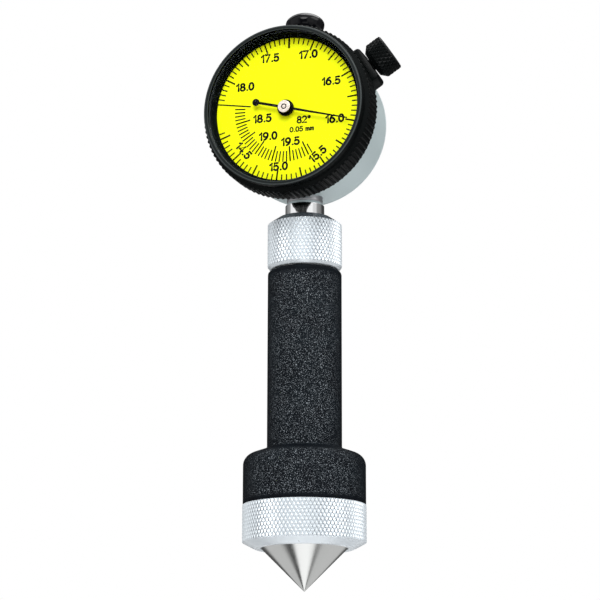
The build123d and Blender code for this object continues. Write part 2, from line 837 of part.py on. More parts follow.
spindle_spring_height = coil_height(spindle_top, cap_cavity_top, spindle_wire)
with BuildPart() as spindle_spring:
    with BuildLine():
        Helix(
            pitch=spindle_spring_height / spindle_spring_turns,
            height=spindle_spring_height,
            radius=spindle_spring_radius,
            center=(0, 0, spindle_top + spindle_wire / 2),
        )
    with BuildSketch(wire_plane(spindle_spring_radius, spindle_top + spindle_wire / 2)):
        Rectangle(spindle_wire, spindle_wire)
    sweep(is_frenet=True)
spindle_spring.part.label = "spindle_spring"

# Bezel: coin edge outside, seats for the crystal and the dial plate inside
with BuildPart() as bezel:
    with BuildSketch(head_section):
        with BuildLine():
            Polyline(
                (bezel_bore_radius, bezel_rear),
                (coin_root_radius - bezel_rear_chamfer, bezel_rear),
                (coin_root_radius, bezel_rear - bezel_rear_chamfer),
                (coin_root_radius, coin_front),
                (bezel_lip_radius, coin_front - bezel_lip_step),
                (bezel_lip_radius, bezel_front),
                (bezel_lip_inner_radius, bezel_front),
                (crystal_radius, crystal_front),
                (crystal_radius, crystal_rear),
                (crystal_ledge_radius, crystal_rear),
                (dial_window_radius, dial_window_front),
                (dial_window_radius, dial_face),
                (dial_radius, dial_face),
                (dial_radius, bezel_shoulder),
                (bezel_bore_radius, bezel_shoulder),
                close=True,
            )
        make_face()
        fillet(corner(bezel_lip_radius, bezel_front), radius=bezel_lip_round)
    revolve(axis=head_axis)
    with BuildSketch(front_plane(coin_rear)):
        with BuildLine():
            Polyline(*coin_points(), close=True)
        make_face()
        Circle((coin_root_radius + bezel_bore_radius) / 2, mode=Mode.SUBTRACT)
    extrude(amount=coin_rear - coin_front)
    with BuildSketch(head_section):
        with BuildLine():
            Polyline(
                *ring_points(
                    snap_ring_inner_radius,
                    snap_ring_outer_radius,
                    snap_ring_depth - snap_ring_width / 2,
                    snap_ring_depth + snap_ring_width / 2,
                ),
                close=True,
            )
        make_face()
    revolve(axis=head_axis, mode=Mode.SUBTRACT)
bezel.part.label = "bezel"

with BuildPart() as crystal:
    with BuildSketch(front_plane(crystal_rear)):
        Circle(crystal_radius)
    extrude(amount=crystal_thickness)
crystal.part.label = "crystal"

with BuildPart() as dial_plate:
    with BuildSketch(front_plane(dial_rear)):
        Circle(dial_radius)
        Circle(dial_hole_radius, mode=Mode.SUBTRACT)
    extrude(amount=dial_thickness)
dial_plate.part.label = "dial_plate"

# Ring that holds the dial plate, and snap ring that holds the bezel on the case
with BuildPart() as dial_ring:
    with BuildSketch(front_plane(dial_rear + dial_ring_width)):
        Circle(dial_radius)
        Circle(dial_radius - dial_ring_width, mode=Mode.SUBTRACT)
        with Locations((0, dial_radius)):
            Rectangle(dial_ring_gap, 4 * dial_ring_width, mode=Mode.SUBTRACT)
    extrude(amount=dial_ring_width)
dial_ring.part.label = "dial_ring"

with BuildPart() as bezel_snap_ring:
    with BuildSketch(front_plane(snap_ring_depth + snap_ring_width / 2)):
        Circle(snap_ring_outer_radius)
        Circle(snap_ring_inner_radius, mode=Mode.SUBTRACT)
        with Locations((0, snap_ring_outer_radius)):
            Rectangle(snap_ring_gap, 4 * snap_ring_width, mode=Mode.SUBTRACT)
    extrude(amount=snap_ring_width)
bezel_snap_ring.part.label = "bezel_snap_ring"

# Bezel clamp: a block on the case, and a knurled screw through it
block_inner = case_radius - case_wall / 2
with BuildPart() as bezel_clamp:
    with BuildSketch(clamp_plane.offset(block_inner)):
        Rectangle(clamp_length, clamp_width)
    extrude(amount=clamp_radius - block_inner)
    outer_face = faces().sort_by(clamp_axis)[-1]
    fillet(outer_face.edges().filter_by(Axis.Y), radius=clamp_corner)
    with BuildSketch(front_plane(clamp_depth + clamp_length)):
        Circle(case_radius)
    extrude(amount=2 * clamp_length, mode=Mode.SUBTRACT)
    with BuildSketch(clamp_plane.offset(block_inner)):
        Circle(clamp_screw_radius + running_gap)
    extrude(amount=clamp_radius, mode=Mode.SUBTRACT)
bezel_clamp.part.label = "bezel_clamp"

with BuildPart() as clamp_knob:
    with BuildSketch(clamp_section):
        with BuildLine():
            Polyline(
                (0, clamp_screw_end),
                (clamp_screw_radius, clamp_screw_end),
                (clamp_screw_radius, knob_base),
                (knob_base_radius, knob_base),
                (knob_radius, knob_knurl_base),
                (knob_radius, knob_end - knob_end_chamfer),
                (knob_radius - knob_end_chamfer, knob_end),
                (0, knob_end),
                close=True,
            )
        make_face()
    revolve(axis=clamp_axis)
clamp_knob.part.label = "clamp_knob"

# Movement plates: the spindle passes between the rear plate and the middle one
pivot_hole_radius = pivot_radius + running_gap
arbor_hole_radius = arbor_radius + running_gap
drive_place = (drive_x, drive_z - head_height)
take_up_place = (take_up_x, take_up_z - head_height)
pillar_places = GridLocations(pillar_spacing_x, pillar_spacing_z, 2, 2)

guide_slot_width = 2 * (guide_pin_radius + running_gap)
guide_slot_length = plunger_travel + 2 * (guide_pin_radius + end_gap)
with BuildPart() as rear_plate:
    with BuildSketch(front_plane(rear_plate_depth)):
        Circle(case_inner_radius - rear_plate_gap)
        Rectangle(2 * case_radius, 2 * (case_inner_radius - rear_plate_cut), mode=Mode.INTERSECT)
        with Locations(drive_place):
            Circle(pivot_hole_radius, mode=Mode.SUBTRACT)
        with ledge_places(rear_screw_angle):
            Circle(plate_screw_radius, mode=Mode.SUBTRACT)
        with Locations((0, guide_pin_height + plunger_travel / 2)):
            Rectangle(guide_slot_width, guide_slot_length, mode=Mode.SUBTRACT)
    extrude(amount=plate_thickness)
rear_plate.part.label = "rear_plate"

with BuildPart() as middle_plate:
    with BuildSketch(front_plane(middle_plate_depth)):
        RectangleRounded(plate_width, plate_height, plate_corner)
        Circle(pivot_hole_radius, mode=Mode.SUBTRACT)
        with Locations(drive_place):
            Circle(arbor_hole_radius, mode=Mode.SUBTRACT)
        with Locations(take_up_place):
            Circle(pivot_hole_radius, mode=Mode.SUBTRACT)
    extrude(amount=plate_thickness)
middle_plate.part.label = "middle_plate"

with BuildPart() as front_plate:
    with BuildSketch(front_plane(front_plate_depth)):
        RectangleRounded(plate_width, plate_height, plate_corner)
        Circle(arbor_hole_radius, mode=Mode.SUBTRACT)
        with Locations(drive_place, take_up_place):
            Circle(pivot_hole_radius, mode=Mode.SUBTRACT)
        with pillar_places:
            Circle(plate_screw_radius, mode=Mode.SUBTRACT)
    extrude(amount=plate_thickness)
front_plate.part.label = "front_plate"

# Eight pillars: four behind the middle plate and four in front of it
with BuildPart() as plate_pillars:
    with BuildSketch(front_plane(rear_plate_front)):
        with pillar_places:
            Circle(pillar_radius)
    extrude(amount=rear_plate_front - middle_plate_depth)
    with BuildSketch(front_plane(middle_plate_front)):
        with pillar_places:
            Circle(pillar_radius)
    extrude(amount=middle_plate_front - front_plate_depth)
    with BuildSketch(front_plane(front_plate_depth)):
        with pillar_places:
            Circle(plate_screw_radius)
    extrude(amount=-plate_screw_length, mode=Mode.SUBTRACT)
plate_pillars.part.label = "plate_pillars"

# Eight plate screws: four hold the front plate, and four hold the rear plate on the case's ledge
with BuildPart() as plate_screws:
    with BuildSketch(front_plane(front_plate_front)):
        with pillar_places:
            Circle(plate_screw_head_radius)
    extrude(amount=plate_screw_head)
    with BuildSketch(front_plane(front_plate_depth + plate_screw_length)):
        with pillar_places:
            Circle(plate_screw_radius)
    extrude(amount=plate_screw_length + plate_thickness)
    with BuildSketch(front_plane(rear_plate_front)):
        with ledge_places(rear_screw_angle):
            Circle(plate_screw_head_radius)
    extrude(amount=plate_screw_head)
    with BuildSketch(front_plane(rear_plate_depth + rear_screw_length)):
        with ledge_places(rear_screw_angle):
            Circle(plate_screw_radius)
    extrude(amount=rear_screw_length + plate_thickness)
plate_screws.part.label = "plate_screws"


def arbor_points(rear_seat, front_seat, radius):
    """The half section of an arbor that turns in two plates, as (radius, depth)."""
    rear = rear_seat - end_gap
    front = front_seat + end_gap
    return [
        (0, rear_seat + plate_thickness),
        (pivot_radius, rear_seat + plate_thickness),
        (pivot_radius, rear),
        (radius, rear),
        (radius, front),
        (pivot_radius, front),
        (pivot_radius, front_seat - plate_thickness),
        (0, front_seat - plate_thickness),
    ]


# Gear train. The pinion's tooth that points at the rack sits in the rack's first space
drive_line = degrees(atan2(head_height - drive_z, -drive_x))
drive_gear_tooth = drive_line
centre_pinion_tooth = mating_tooth(drive_line, drive_gear_tooth, drive_gear_teeth, centre_pinion_teeth)
take_up_tooth = mating_tooth(take_up_angle, centre_pinion_tooth, centre_pinion_teeth, take_up_gear_teeth)
drive_axis = Axis((drive_x, 0, drive_z), (0, 1, 0))
take_up_axis = Axis((take_up_x, 0, take_up_z), (0, 1, 0))

with BuildPart() as rack_pinion:
    with BuildSketch(Plane(origin=(drive_x, 0, drive_z))):
        with BuildLine():
            Polyline(*arbor_points(rear_plate_front, front_plate_depth, arbor_radius), close=True)
        make_face()
    revolve(axis=drive_axis)
    with BuildSketch(front_plane(pinion_length / 2, drive_x, drive_z)):
        with BuildLine():
            Polyline(*gear_points(rack_pinion_teeth, 0.0, 2), close=True)
        make_face()
    extrude(amount=pinion_length)
rack_pinion.part.label = "rack_pinion"

with BuildPart() as drive_gear:
    with BuildSketch(front_plane(drive_gear_depth, drive_x, drive_z)):
        with BuildLine():
            Polyline(*gear_points(drive_gear_teeth, drive_gear_tooth, 2), close=True)
        make_face()
        Circle(arbor_radius, mode=Mode.SUBTRACT)
    extrude(amount=gear_thickness)
drive_gear.part.label = "drive_gear"

with BuildPart() as centre_pinion:
    with BuildSketch(head_section):
        with BuildLine():
            Polyline(
                (0, middle_plate_depth),
                (pivot_radius, middle_plate_depth),
                (pivot_radius, middle_plate_front - end_gap),
                (arbor_radius, middle_plate_front - end_gap),
                (arbor_radius, pointer_depth - hub_cap_length / 2),
                (0, pointer_depth - hub_cap_length / 2),
                close=True,
            )
        make_face()
    revolve(axis=head_axis)
    with BuildSketch(front_plane(drive_gear_depth + end_gap)):
        with BuildLine():
            Polyline(*gear_points(centre_pinion_teeth, centre_pinion_tooth, 2), close=True)
        make_face()
    extrude(amount=centre_pinion_length)
centre_pinion.part.label = "centre_pinion"

with BuildPart() as take_up_gear:
    with BuildSketch(Plane(origin=(take_up_x, 0, take_up_z))):
        with BuildLine():
            Polyline(*arbor_points(middle_plate_front, front_plate_depth, arbor_radius), close=True)
        make_face()
    revolve(axis=take_up_axis)
    with BuildSketch(front_plane(take_up_gear_depth, take_up_x, take_up_z)):
        with BuildLine():
            Polyline(*gear_points(take_up_gear_teeth, take_up_tooth, 2), close=True)
        make_face()
    extrude(amount=gear_thickness)
    with BuildSketch(front_plane(hairspring_depth, take_up_x, take_up_z)):
        Circle(hairspring_inner_radius)
    extrude(amount=hairspring_width)
take_up_gear.part.label = "take_up_gear"

# Hairspring: a flat spiral from the take-up arbor to its stud
spiral_steps = 24 * hairspring_turns


def spiral_points(shift):
    """Points along the spiral, moved outwards by shift."""
    first = hairspring_inner_radius + hairspring_thickness / 2
    grow = (hairspring_outer_radius - first) / spiral_steps
    turn = 2 * pi * hairspring_turns / spiral_steps
    return [
        ((first + grow * i + shift) * cos(turn * i), (first + grow * i + shift) * sin(turn * i))
        for i in range(spiral_steps + 1)
    ]


with BuildPart() as hairspring:
    with BuildSketch(front_plane(hairspring_depth, take_up_x, take_up_z)):
        with BuildLine():
            inner = spiral_points(-hairspring_thickness / 2)
            outer = spiral_points(hairspring_thickness / 2)
            Polyline(*inner, *reversed(outer), close=True)
        make_face()
    extrude(amount=hairspring_width)
hairspring.part.label = "hairspring"

stud_x = take_up_x + hairspring_outer_radius + hairspring_thickness / 2 + hairspring_stud_radius
with BuildPart() as hairspring_stud:
    with BuildSketch(front_plane(middle_plate_front, stud_x, take_up_z)):
        Circle(hairspring_stud_radius)
    extrude(amount=middle_plate_front - hairspring_depth + hairspring_width)
hairspring_stud.part.label = "hairspring_stud"

# Pointer and the hub that clamps it on the centre arbor
hub_neck_radius = (arbor_radius + hub_cap_radius) / 2
with BuildPart() as pointer:
    with BuildSketch(front_plane(pointer_depth, turn=pointer_angle)):
        with BuildLine():
            Polyline(
                (-pointer_tail, -pointer_root_width / 2),
                (0, -pointer_root_width / 2),
                (pointer_length, -pointer_tip_width / 2),
                (pointer_length, pointer_tip_width / 2),
                (0, pointer_root_width / 2),
                (-pointer_tail, pointer_root_width / 2),
                close=True,
            )
        make_face()
        with Locations((-pointer_tail, 0)):
            Circle(pointer_ball_radius)
        Circle(hub_cap_radius)
        Circle(hub_neck_radius, mode=Mode.SUBTRACT)
    extrude(amount=pointer_thickness)
pointer.part.label = "pointer"

with BuildPart() as pointer_hub:
    with BuildSketch(head_section):
        with BuildLine():
            Polyline(
                (arbor_radius, pointer_depth + hub_length),
                (hub_radius, pointer_depth + hub_length),
                (hub_radius, pointer_depth),
                (hub_neck_radius, pointer_depth),
                (hub_neck_radius, pointer_depth - pointer_thickness),
                (hub_cap_radius, pointer_depth - pointer_thickness),
                (hub_cap_radius, hub_front),
                (0, hub_front),
                (0, pointer_depth - hub_cap_length / 2),
                (arbor_radius, pointer_depth - hub_cap_length / 2),
                close=True,
            )
        make_face()
    revolve(axis=head_axis)
pointer_hub.part.label = "pointer_hub"

pieces = [
    nose_ring,
    handle_body,
    plunger,
    plunger_clip,
    spring_washer,
    plunger_spring,
    lower_bushing,
    upper_bushing,
    split_collet,
    clamp_nut,
    indicator_stem,
    stem_bushing,
    spindle,
    contact_point,
    guide_pin,
    indicator_case,
    case_back,
    case_back_screws,
    top_bushing,
    spindle_cap,
    spindle_spring,
    bezel,
    crystal,
    dial_plate,
    dial_ring,
    bezel_snap_ring,
    bezel_clamp,
    clamp_knob,
    rear_plate,
    middle_plate,
    front_plate,
    plate_pillars,
    plate_screws,
    rack_pinion,
    drive_gear,
    centre_pinion,
    take_up_gear,
    hairspring,
    hairspring_stud,
    pointer,
    pointer_hub,
]

os.makedirs("parts", exist_ok=True)
for piece in pieces:
    export_step(piece.part, f"parts/{piece.part.label}.step")
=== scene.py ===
# %% [markdown]
# # A countersink gauge, dressed for its picture
# The gauge is a hand tool. A steel cone stands out of a knurled nose ring at the foot of a black handle.
# Pressed into a countersunk hole, the cone slides back, and the yellow dial on top shows the diameter of
# the hole's rim. The solids of every part are packed already, as a fixed frame in metres. This lesson
# gives them their finish: turned and knurled pieces, a printed dial, paint, glass and the light of a
# small photo studio. Loading the frame comes first, because each later piece takes its place and its size
# from it.

# %% Load the frame
import json
import math

import bmesh
import bpy
from mathutils import Matrix, Vector


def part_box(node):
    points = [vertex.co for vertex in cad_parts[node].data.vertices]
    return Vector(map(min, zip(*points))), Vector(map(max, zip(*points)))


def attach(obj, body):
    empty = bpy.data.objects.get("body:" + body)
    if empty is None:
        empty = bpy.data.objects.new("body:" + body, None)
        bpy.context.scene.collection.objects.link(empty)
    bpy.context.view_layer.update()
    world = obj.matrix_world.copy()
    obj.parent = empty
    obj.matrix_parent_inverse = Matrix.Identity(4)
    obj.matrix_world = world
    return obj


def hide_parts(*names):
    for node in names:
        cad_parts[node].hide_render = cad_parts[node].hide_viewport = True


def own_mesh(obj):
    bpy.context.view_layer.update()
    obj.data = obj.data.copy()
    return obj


MM = 0.001  # metres in a millimetre

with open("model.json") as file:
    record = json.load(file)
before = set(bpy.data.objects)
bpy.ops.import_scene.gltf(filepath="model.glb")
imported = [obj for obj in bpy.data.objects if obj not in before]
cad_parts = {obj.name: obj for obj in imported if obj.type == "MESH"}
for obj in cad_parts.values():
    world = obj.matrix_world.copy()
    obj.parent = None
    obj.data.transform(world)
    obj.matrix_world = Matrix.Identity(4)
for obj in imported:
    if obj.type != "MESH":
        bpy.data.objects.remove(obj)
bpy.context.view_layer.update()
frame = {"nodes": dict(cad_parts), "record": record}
scene = bpy.context.scene
print("solids in the frame:", len(frame["nodes"]))

# %% [markdown]
# Sizes are easiest to think of in millimetres, as on a workshop drawing. A solid's box gives most of the
# radii and heights, so that a change in the frame carries through to everything below. The nose ring
# stands on the origin with the handle above it. The dial head is turned about an axis that runs from its
# back to its reader.

# %% Measure the solids


def extent(node):
    """The lowest and the highest corner of a solid, in millimetres."""
    low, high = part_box(node)
    return low / MM, high / MM


cone_low, cone_high = extent("plunger")
ring_low, ring_high = extent("nose_ring")
handle_low, handle_high = extent("handle_body")
guide_low, guide_high = extent("lower_bushing")
collet_low, collet_high = extent("split_collet")
nut_low, nut_high = extent("clamp_nut")
stem_low, stem_high = extent("indicator_stem")
case_low, case_high = extent("indicator_case")
back_low, back_high = extent("case_back")
cap_low, cap_high = extent("spindle_cap")
bezel_low, bezel_high = extent("bezel")
crystal_low, crystal_high = extent("crystal")
dial_low, dial_high = extent("dial_plate")
pointer_low, pointer_high = extent("pointer")
hub_low, hub_high = extent("pointer_hub")
head_height = (crystal_low.z + crystal_high.z) / 2
print("dial centre above the nose face:", round(head_height, 2), "mm")

# %% [markdown]
# The photograph was taken from the gauge's right side and from a little below, with a long lens that
# keeps the handle almost parallel. The angles, the distance and the lens were worked out from the
# outlines of the round pieces. A camera that is placed by angles keeps its meaning when the numbers are
# changed: azimuth is its way round the gauge, and elevation is below zero because it looks up.

# %% Place the camera
camera_azimuth = math.radians(18.754)
camera_elevation = math.radians(-13.315)
camera_roll = math.radians(0.116)
camera_distance = 508.475
camera_lens = 127.313
sensor_width = 36.0
nearest, farthest = 0.01, 20  # in metres, what the camera can see
aim_height = 33.169  # the point of the gauge's axis that the distances below are measured from
aim_right = -1.089
aim_up = 26.465


def way_out(azimuth, elevation):
    """The direction from the gauge to a point at two angles. At azimuth 0 it is in front of the dial."""
    level = math.cos(elevation)
    return Vector((math.sin(azimuth) * level, -math.cos(azimuth) * level, math.sin(elevation)))


away = way_out(camera_azimuth, camera_elevation)
level_right = Vector((math.cos(camera_azimuth), math.sin(camera_azimuth), 0))
level_up = away.cross(level_right)
picture_right = level_right * math.cos(camera_roll) + level_up * math.sin(camera_roll)
picture_up = level_up * math.cos(camera_roll) - level_right * math.sin(camera_roll)
aim = Vector((0, 0, aim_height))
stand_point = aim + picture_right * aim_right + picture_up * aim_up + away * camera_distance

lens = bpy.data.cameras.new("Photo lens")
lens.sensor_width = sensor_width
lens.lens = camera_lens
lens.clip_start = nearest
lens.clip_end = farthest
camera = bpy.data.objects.new("Photo camera", lens)
camera_turn = Matrix((picture_right, picture_up, away)).transposed().to_4x4()
camera.matrix_world = Matrix.Translation(stand_point * MM) @ camera_turn
scene.collection.objects.link(camera)
scene.camera = camera
print("camera at", [round(c) for c in stand_point], "mm")

# %% [markdown]
# Every tree below, for light, for a finish or for geometry, is built from a few moves: add a node and
# fill its inputs, do one step of arithmetic, take a vector apart, or blend two colours. Short helpers for
# them keep the trees readable. The one used most asks how far a value has come between two bounds, and
# holds it there. Masks for edges, grooves and fades are all made with it.

# %% Helpers for node trees


def add(tree, kind, inputs=None, **settings):
    """Adds a node, sets it up and fills its inputs with values or with other nodes' outputs."""
    made = tree.nodes.new(kind)
    for name, value in settings.items():
        setattr(made, name, value)
    for key, value in (inputs or {}).items():
        if isinstance(value, bpy.types.NodeSocket):
            tree.links.new(value, made.inputs[key])
        else:
            made.inputs[key].default_value = value
    return made


def reckon(tree, operation, *values):
    """One step of arithmetic in a tree."""
    return add(tree, "ShaderNodeMath", dict(enumerate(values)), operation=operation).outputs[0]


def between(tree, value, start, full, least=0.0, most=1.0, kind="LINEAR"):
    """How far a value has come from start to full, as a number that goes from least to most."""
    bounds = {"Value": value, "From Min": start, "From Max": full, "To Min": least, "To Max": most}
    return add(tree, "ShaderNodeMapRange", bounds, interpolation_type=kind).outputs[0]


def axes_of(tree, vector):
    """The three numbers of a vector."""
    return add(tree, "ShaderNodeSeparateXYZ", {0: vector}).outputs


def scaled(tree, vector, factor):
    """A vector made longer or shorter, such as a position in metres given in millimetres."""
    return add(tree, "ShaderNodeVectorMath", {0: vector, "Scale": factor}, operation="SCALE").outputs[0]


def length_of(tree, vector):
    """The length of a vector."""
    return add(tree, "ShaderNodeVectorMath", {0: vector}, operation="LENGTH").outputs["Value"]


def blended(tree, share, first, second):
    """A colour between two others, by a share that changes from place to place."""
    first, second = ((*c, 1.0) if isinstance(c, tuple) else c for c in (first, second))
    return add(tree, "ShaderNodeMix", {0: share, 6: first, 7: second}, data_type="RGBA").outputs[2]


def ramp(tree, value, reach, stops):
    """Light through (place, level) stops. The value and the places run from minus to plus the same reach."""
    share = reckon(tree, "MULTIPLY_ADD", value, 0.5 / reach, 0.5)
    made = add(tree, "ShaderNodeValToRGB", {"Fac": share})
    elements = made.color_ramp.elements
    while len(elements) < len(stops):
        elements.new(0.5)
    for element, (place, level) in zip(elements, stops):
        element.position = 0.5 * place / reach + 0.5
        element.color = (level, level, level, 1.0)
    return made.outputs["Color"]


print("helpers ready")

# %% [markdown]
# Polished metal shows its surroundings, so a studio is mostly made of cards: white ones that draw long
# bright bands down a chrome stem, and black ones that draw the dark bands between them. Cards could be
# planes, but then they would also change the light on paint. Here the world itself plays the cards, and
# only for mirror-like and see-through rays. Three lists say how bright they are. The first goes round the
# gauge by its angle from the camera, minus to the left. The second lies under the gauge, from left to
# right, and is what the cone shows. The third hangs overhead, from the camera's side to the far side.

# %% List the cards
side_cards = [
    (-180, 0.06),
    (-150, 0.10),
    (-112, 0.30),
    (-98, 0.35),
    (-90, 0.90),
    (-46, 1.00),
    (-36, 0.45),
    (-26, 0.04),
    (8, 0.02),
    (15, 0.95),
    (44, 1.00),
    (52, 0.72),
    (70, 0.66),
    (78, 0.30),
    (108, 0.20),
    (122, 0.05),
    (180, 0.06),
]
ground_cards = [
    (-1.0, 0.50),
    (-0.53, 0.60),
    (-0.49, 0.42),
    (-0.45, 0.20),
    (-0.41, 0.06),
    (-0.31, 0.06),
    (-0.24, 1.10),
    (0.13, 1.15),
    (0.27, 0.90),
    (0.31, 0.12),
    (0.34, 0.14),
    (0.39, 0.36),
    (0.45, 0.60),
    (0.52, 0.58),
    (1.0, 0.66),
]
overhead_cards = [
    (-1.0, 1.0),
    (-0.16, 0.9),
    (0.04, 0.06),
    (0.32, 0.06),
    (0.42, 1.2),
    (0.70, 1.2),
    (0.82, 0.05),
    (1.0, 0.04),
]
print("cards round, under and over the gauge:", len(side_cards), len(ground_cards), len(overhead_cards))

# %% [markdown]
# The world is a tree like a material's. It turns each ray's direction so that the camera's side lies in
# front, and looks up the three lists with it. The list underneath takes over for rays that point down,
# and the one overhead for rays that point up. Light Path then tells mirror-like rays from all others: the
# camera sees plain white behind the gauge, and paint gets a plain light that is stronger from above.

# %% Light the studio
ground_start, ground_full = -0.12, -0.32  # how steeply down a ray points where the ground cards take over
overhead_start, overhead_full = 0.45, 0.85
overhead_share = 0.9  # of the overhead cards at most, because the side cards shine through a little
plain_levels = [(-1.0, 0.20), (0.0, 0.34), (1.0, 1.0)]  # from straight below, the sides and straight above
backdrop_white = (1.0, 1.0, 1.0)

world = bpy.data.worlds.new("Studio")
world.use_nodes = True
scene.world = world
studio = world.node_tree
studio.nodes.clear()
way = add(studio, "ShaderNodeTexCoord").outputs["Generated"]
from_camera = add(
    studio, "ShaderNodeVectorRotate", {"Vector": way, "Angle": -camera_azimuth}, rotation_type="Z_AXIS"
)
across, along, upward = axes_of(studio, from_camera.outputs[0])
turn = reckon(studio, "ARCTAN2", across, reckon(studio, "MULTIPLY", along, -1.0))
side_light = ramp(studio, turn, math.pi, [(math.radians(angle), level) for angle, level in side_cards])
ground_light = ramp(studio, across, 1.0, ground_cards)
overhead_light = ramp(studio, along, 1.0, overhead_cards)
below = between(studio, upward, ground_start, ground_full, kind="SMOOTHSTEP")
above = between(studio, upward, overhead_start, overhead_full, most=overhead_share, kind="SMOOTHSTEP")
cards = blended(studio, below, side_light, ground_light)
cards = blended(studio, above, cards, overhead_light)
path = add(studio, "ShaderNodeLightPath").outputs
mirrored = reckon(studio, "MAXIMUM", path["Is Glossy Ray"], path["Is Transmission Ray"])
seen = blended(studio, mirrored, ramp(studio, upward, 1.0, plain_levels), cards)
seen = blended(studio, path["Is Camera Ray"], seen, backdrop_white)
backdrop = add(studio, "ShaderNodeBackground", {"Color": seen, "Strength": 1.0})
add(studio, "ShaderNodeOutputWorld", {"Surface": backdrop.outputs[0]})

scene.view_settings.view_transform = "Standard"
print("studio:", len(studio.nodes), "nodes")

# %% [markdown]
# The cards only show in what mirrors. Paint, dial and knurls are also lit by three large lamps: the key
# lamp above the camera, a fill lamp from the right and a weaker one high behind the gauge. Large discs
# that hang far off give soft shadows, as in a photographer's light tent. Their power was set by comparing
# grey levels with the photo.

# %% Hang the soft lamps
lamp_places = {  # angle from the camera, height angle, size in mm, power in watts
    "Key lamp": (-8, 40, 260, 1.20),
    "Fill lamp": (66, 44, 300, 0.62),
    "Top lamp": (150, 68, 260, 0.40),
}
lamp_distance = 420.0
for lamp_name, (angle, height_angle, lamp_size, watts) in lamp_places.items():
    soft = bpy.data.lights.new(lamp_name, "AREA")
    soft.shape = "DISK"
    soft.size = lamp_size * MM
    soft.energy = watts
    lamp = bpy.data.objects.new(lamp_name, soft)
    aside = way_out(camera_azimuth + math.radians(angle), math.radians(height_angle))
    lamp.location = (Vector((0, 0, head_height / 2)) + aside * lamp_distance) * MM
    lamp.rotation_mode = "QUATERNION"
    lamp.rotation_quaternion = aside.to_track_quat("Z", "Y")
    scene.collection.objects.link(lamp)
print("lamps:", ", ".join(lamp_places))

# %% [markdown]
# A plain pale floor lies just under the cone's tip. The photograph looks up from below that level, so the
# floor is see-through from underneath, by the Backfacing output. Mirrors are told not to see it, because
# they take their picture from the cards. For a view from above it also fades out far from the gauge, so
# that its edge never shows.

# %% Lay the floor
floor_reach = 3.0  # in metres, from its middle to its sides
floor_gap = 0.2
floor_grey = (0.68, 0.68, 0.69, 1.0)
floor_roughness = 0.9
fade_start, fade_end = 120.0, 620.0  # from the gauge, where the floor melts into the white behind it
floor_height = cone_low.z - floor_gap
corner_signs = ((-1, -1), (1, -1), (1, 1), (-1, 1))
floor_mesh = bpy.data.meshes.new("Floor")
floor_mesh.from_pydata(
    [(x * floor_reach, y * floor_reach, floor_height * MM) for x, y in corner_signs], [], [(0, 1, 2, 3)]
)
floor = bpy.data.objects.new("Floor", floor_mesh)
scene.collection.objects.link(floor)
floor.visible_glossy = False

pale_card = bpy.data.materials.new("pale_card")
pale_card.use_nodes = True
tree = pale_card.node_tree
card = tree.nodes["Principled BSDF"]
card.inputs["Base Color"].default_value = floor_grey
card.inputs["Roughness"].default_value = floor_roughness
underside = add(tree, "ShaderNodeNewGeometry").outputs["Backfacing"]
off_centre = length_of(tree, add(tree, "ShaderNodeTexCoord").outputs["Object"])
far_off = between(tree, off_centre, fade_start * MM, fade_end * MM, kind="SMOOTHSTEP")
gone = reckon(tree, "MAXIMUM", underside, far_off)
clear = add(tree, "ShaderNodeBsdfTransparent")
choice = add(tree, "ShaderNodeMixShader", {0: gone, 1: card.outputs[0], 2: clear.outputs[0]})
tree.links.new(choice.outputs[0], tree.nodes["Material Output"].inputs["Surface"])
floor_mesh.materials.append(pale_card)
print("floor at", round(floor_height, 2), "mm")

# %% [markdown]
# Some effects come back in more than one finish, so each is a node group with named inputs. The first two
# are grain, which is the fine unevenness of any surface, and wear, the slow change in gloss where hands
# and cloths have been. Both are soft noise that reads a position in metres and turns it into millimetres
# first. A group is built once and placed in each finish with its own values, so a change to it reaches
# them all.

# %% Groups for grain and wear


def effect_group(name, vector, sizes, outputs):
    """An empty shader group with a vector, named sizes and outputs. Gives it, its inputs and its end."""
    tree = bpy.data.node_groups.new(name, "ShaderNodeTree")
    tree.interface.new_socket(vector, in_out="INPUT", socket_type="NodeSocketVector")
    for label, value in sizes.items():
        socket = tree.interface.new_socket(label, in_out="INPUT", socket_type="NodeSocketFloat")
        socket.default_value = value
    for label in outputs:
        tree.interface.new_socket(label, in_out="OUTPUT", socket_type="NodeSocketFloat")
    return tree, tree.nodes.new("NodeGroupInput").outputs, tree.nodes.new("NodeGroupOutput")


def noise(tree, position, size, detail, roughness):
    """Soft noise over a position in metres. The size of its patches is in millimetres."""
    inputs = {
        "Vector": scaled(tree, position, 1 / MM),
        "Scale": reckon(tree, "DIVIDE", 1.0, size),
        "Detail": detail,
        "Roughness": roughness,
    }
    return add(tree, "ShaderNodeTexNoise", inputs).outputs[0]


grain_group, given, end = effect_group("Grain", "Position", {"Size": 0.3, "Detail": 3.0}, ["Height"])
bumps = noise(grain_group, given["Position"], given["Size"], given["Detail"], 0.6)
grain_group.links.new(bumps, end.inputs["Height"])

wear_group, given, end = effect_group(
    "Wear", "Position", {"Patch": 6.0, "Least": 0.3, "Most": 0.5}, ["Amount"]
)
patches = noise(wear_group, given["Position"], given["Patch"], 5.0, 0.55)
amount = between(wear_group, patches, 0.3, 0.7, given["Least"], given["Most"])
wear_group.links.new(amount, end.inputs["Amount"])
print("groups:", grain_group.name, wear_group.name)

# %% [markdown]
# A lathe's tool leaves fine lines round the axis, and no two of them are cut quite as deep. Noise of one
# dimension gives that: its only number grows with the distance from the axis and with the height, so that
# it is the same all the way round. A knurl's marks are the dark lines of two crossing sets of grooves,
# and the pits where they cross. They come from the angle round the axis and the height, just as the
# grooves are cut later, so that marks and grooves meet. The last group tells which surfaces turn to the
# dial's reader. Only the tool rings serve a single finish so far, that of the cone.

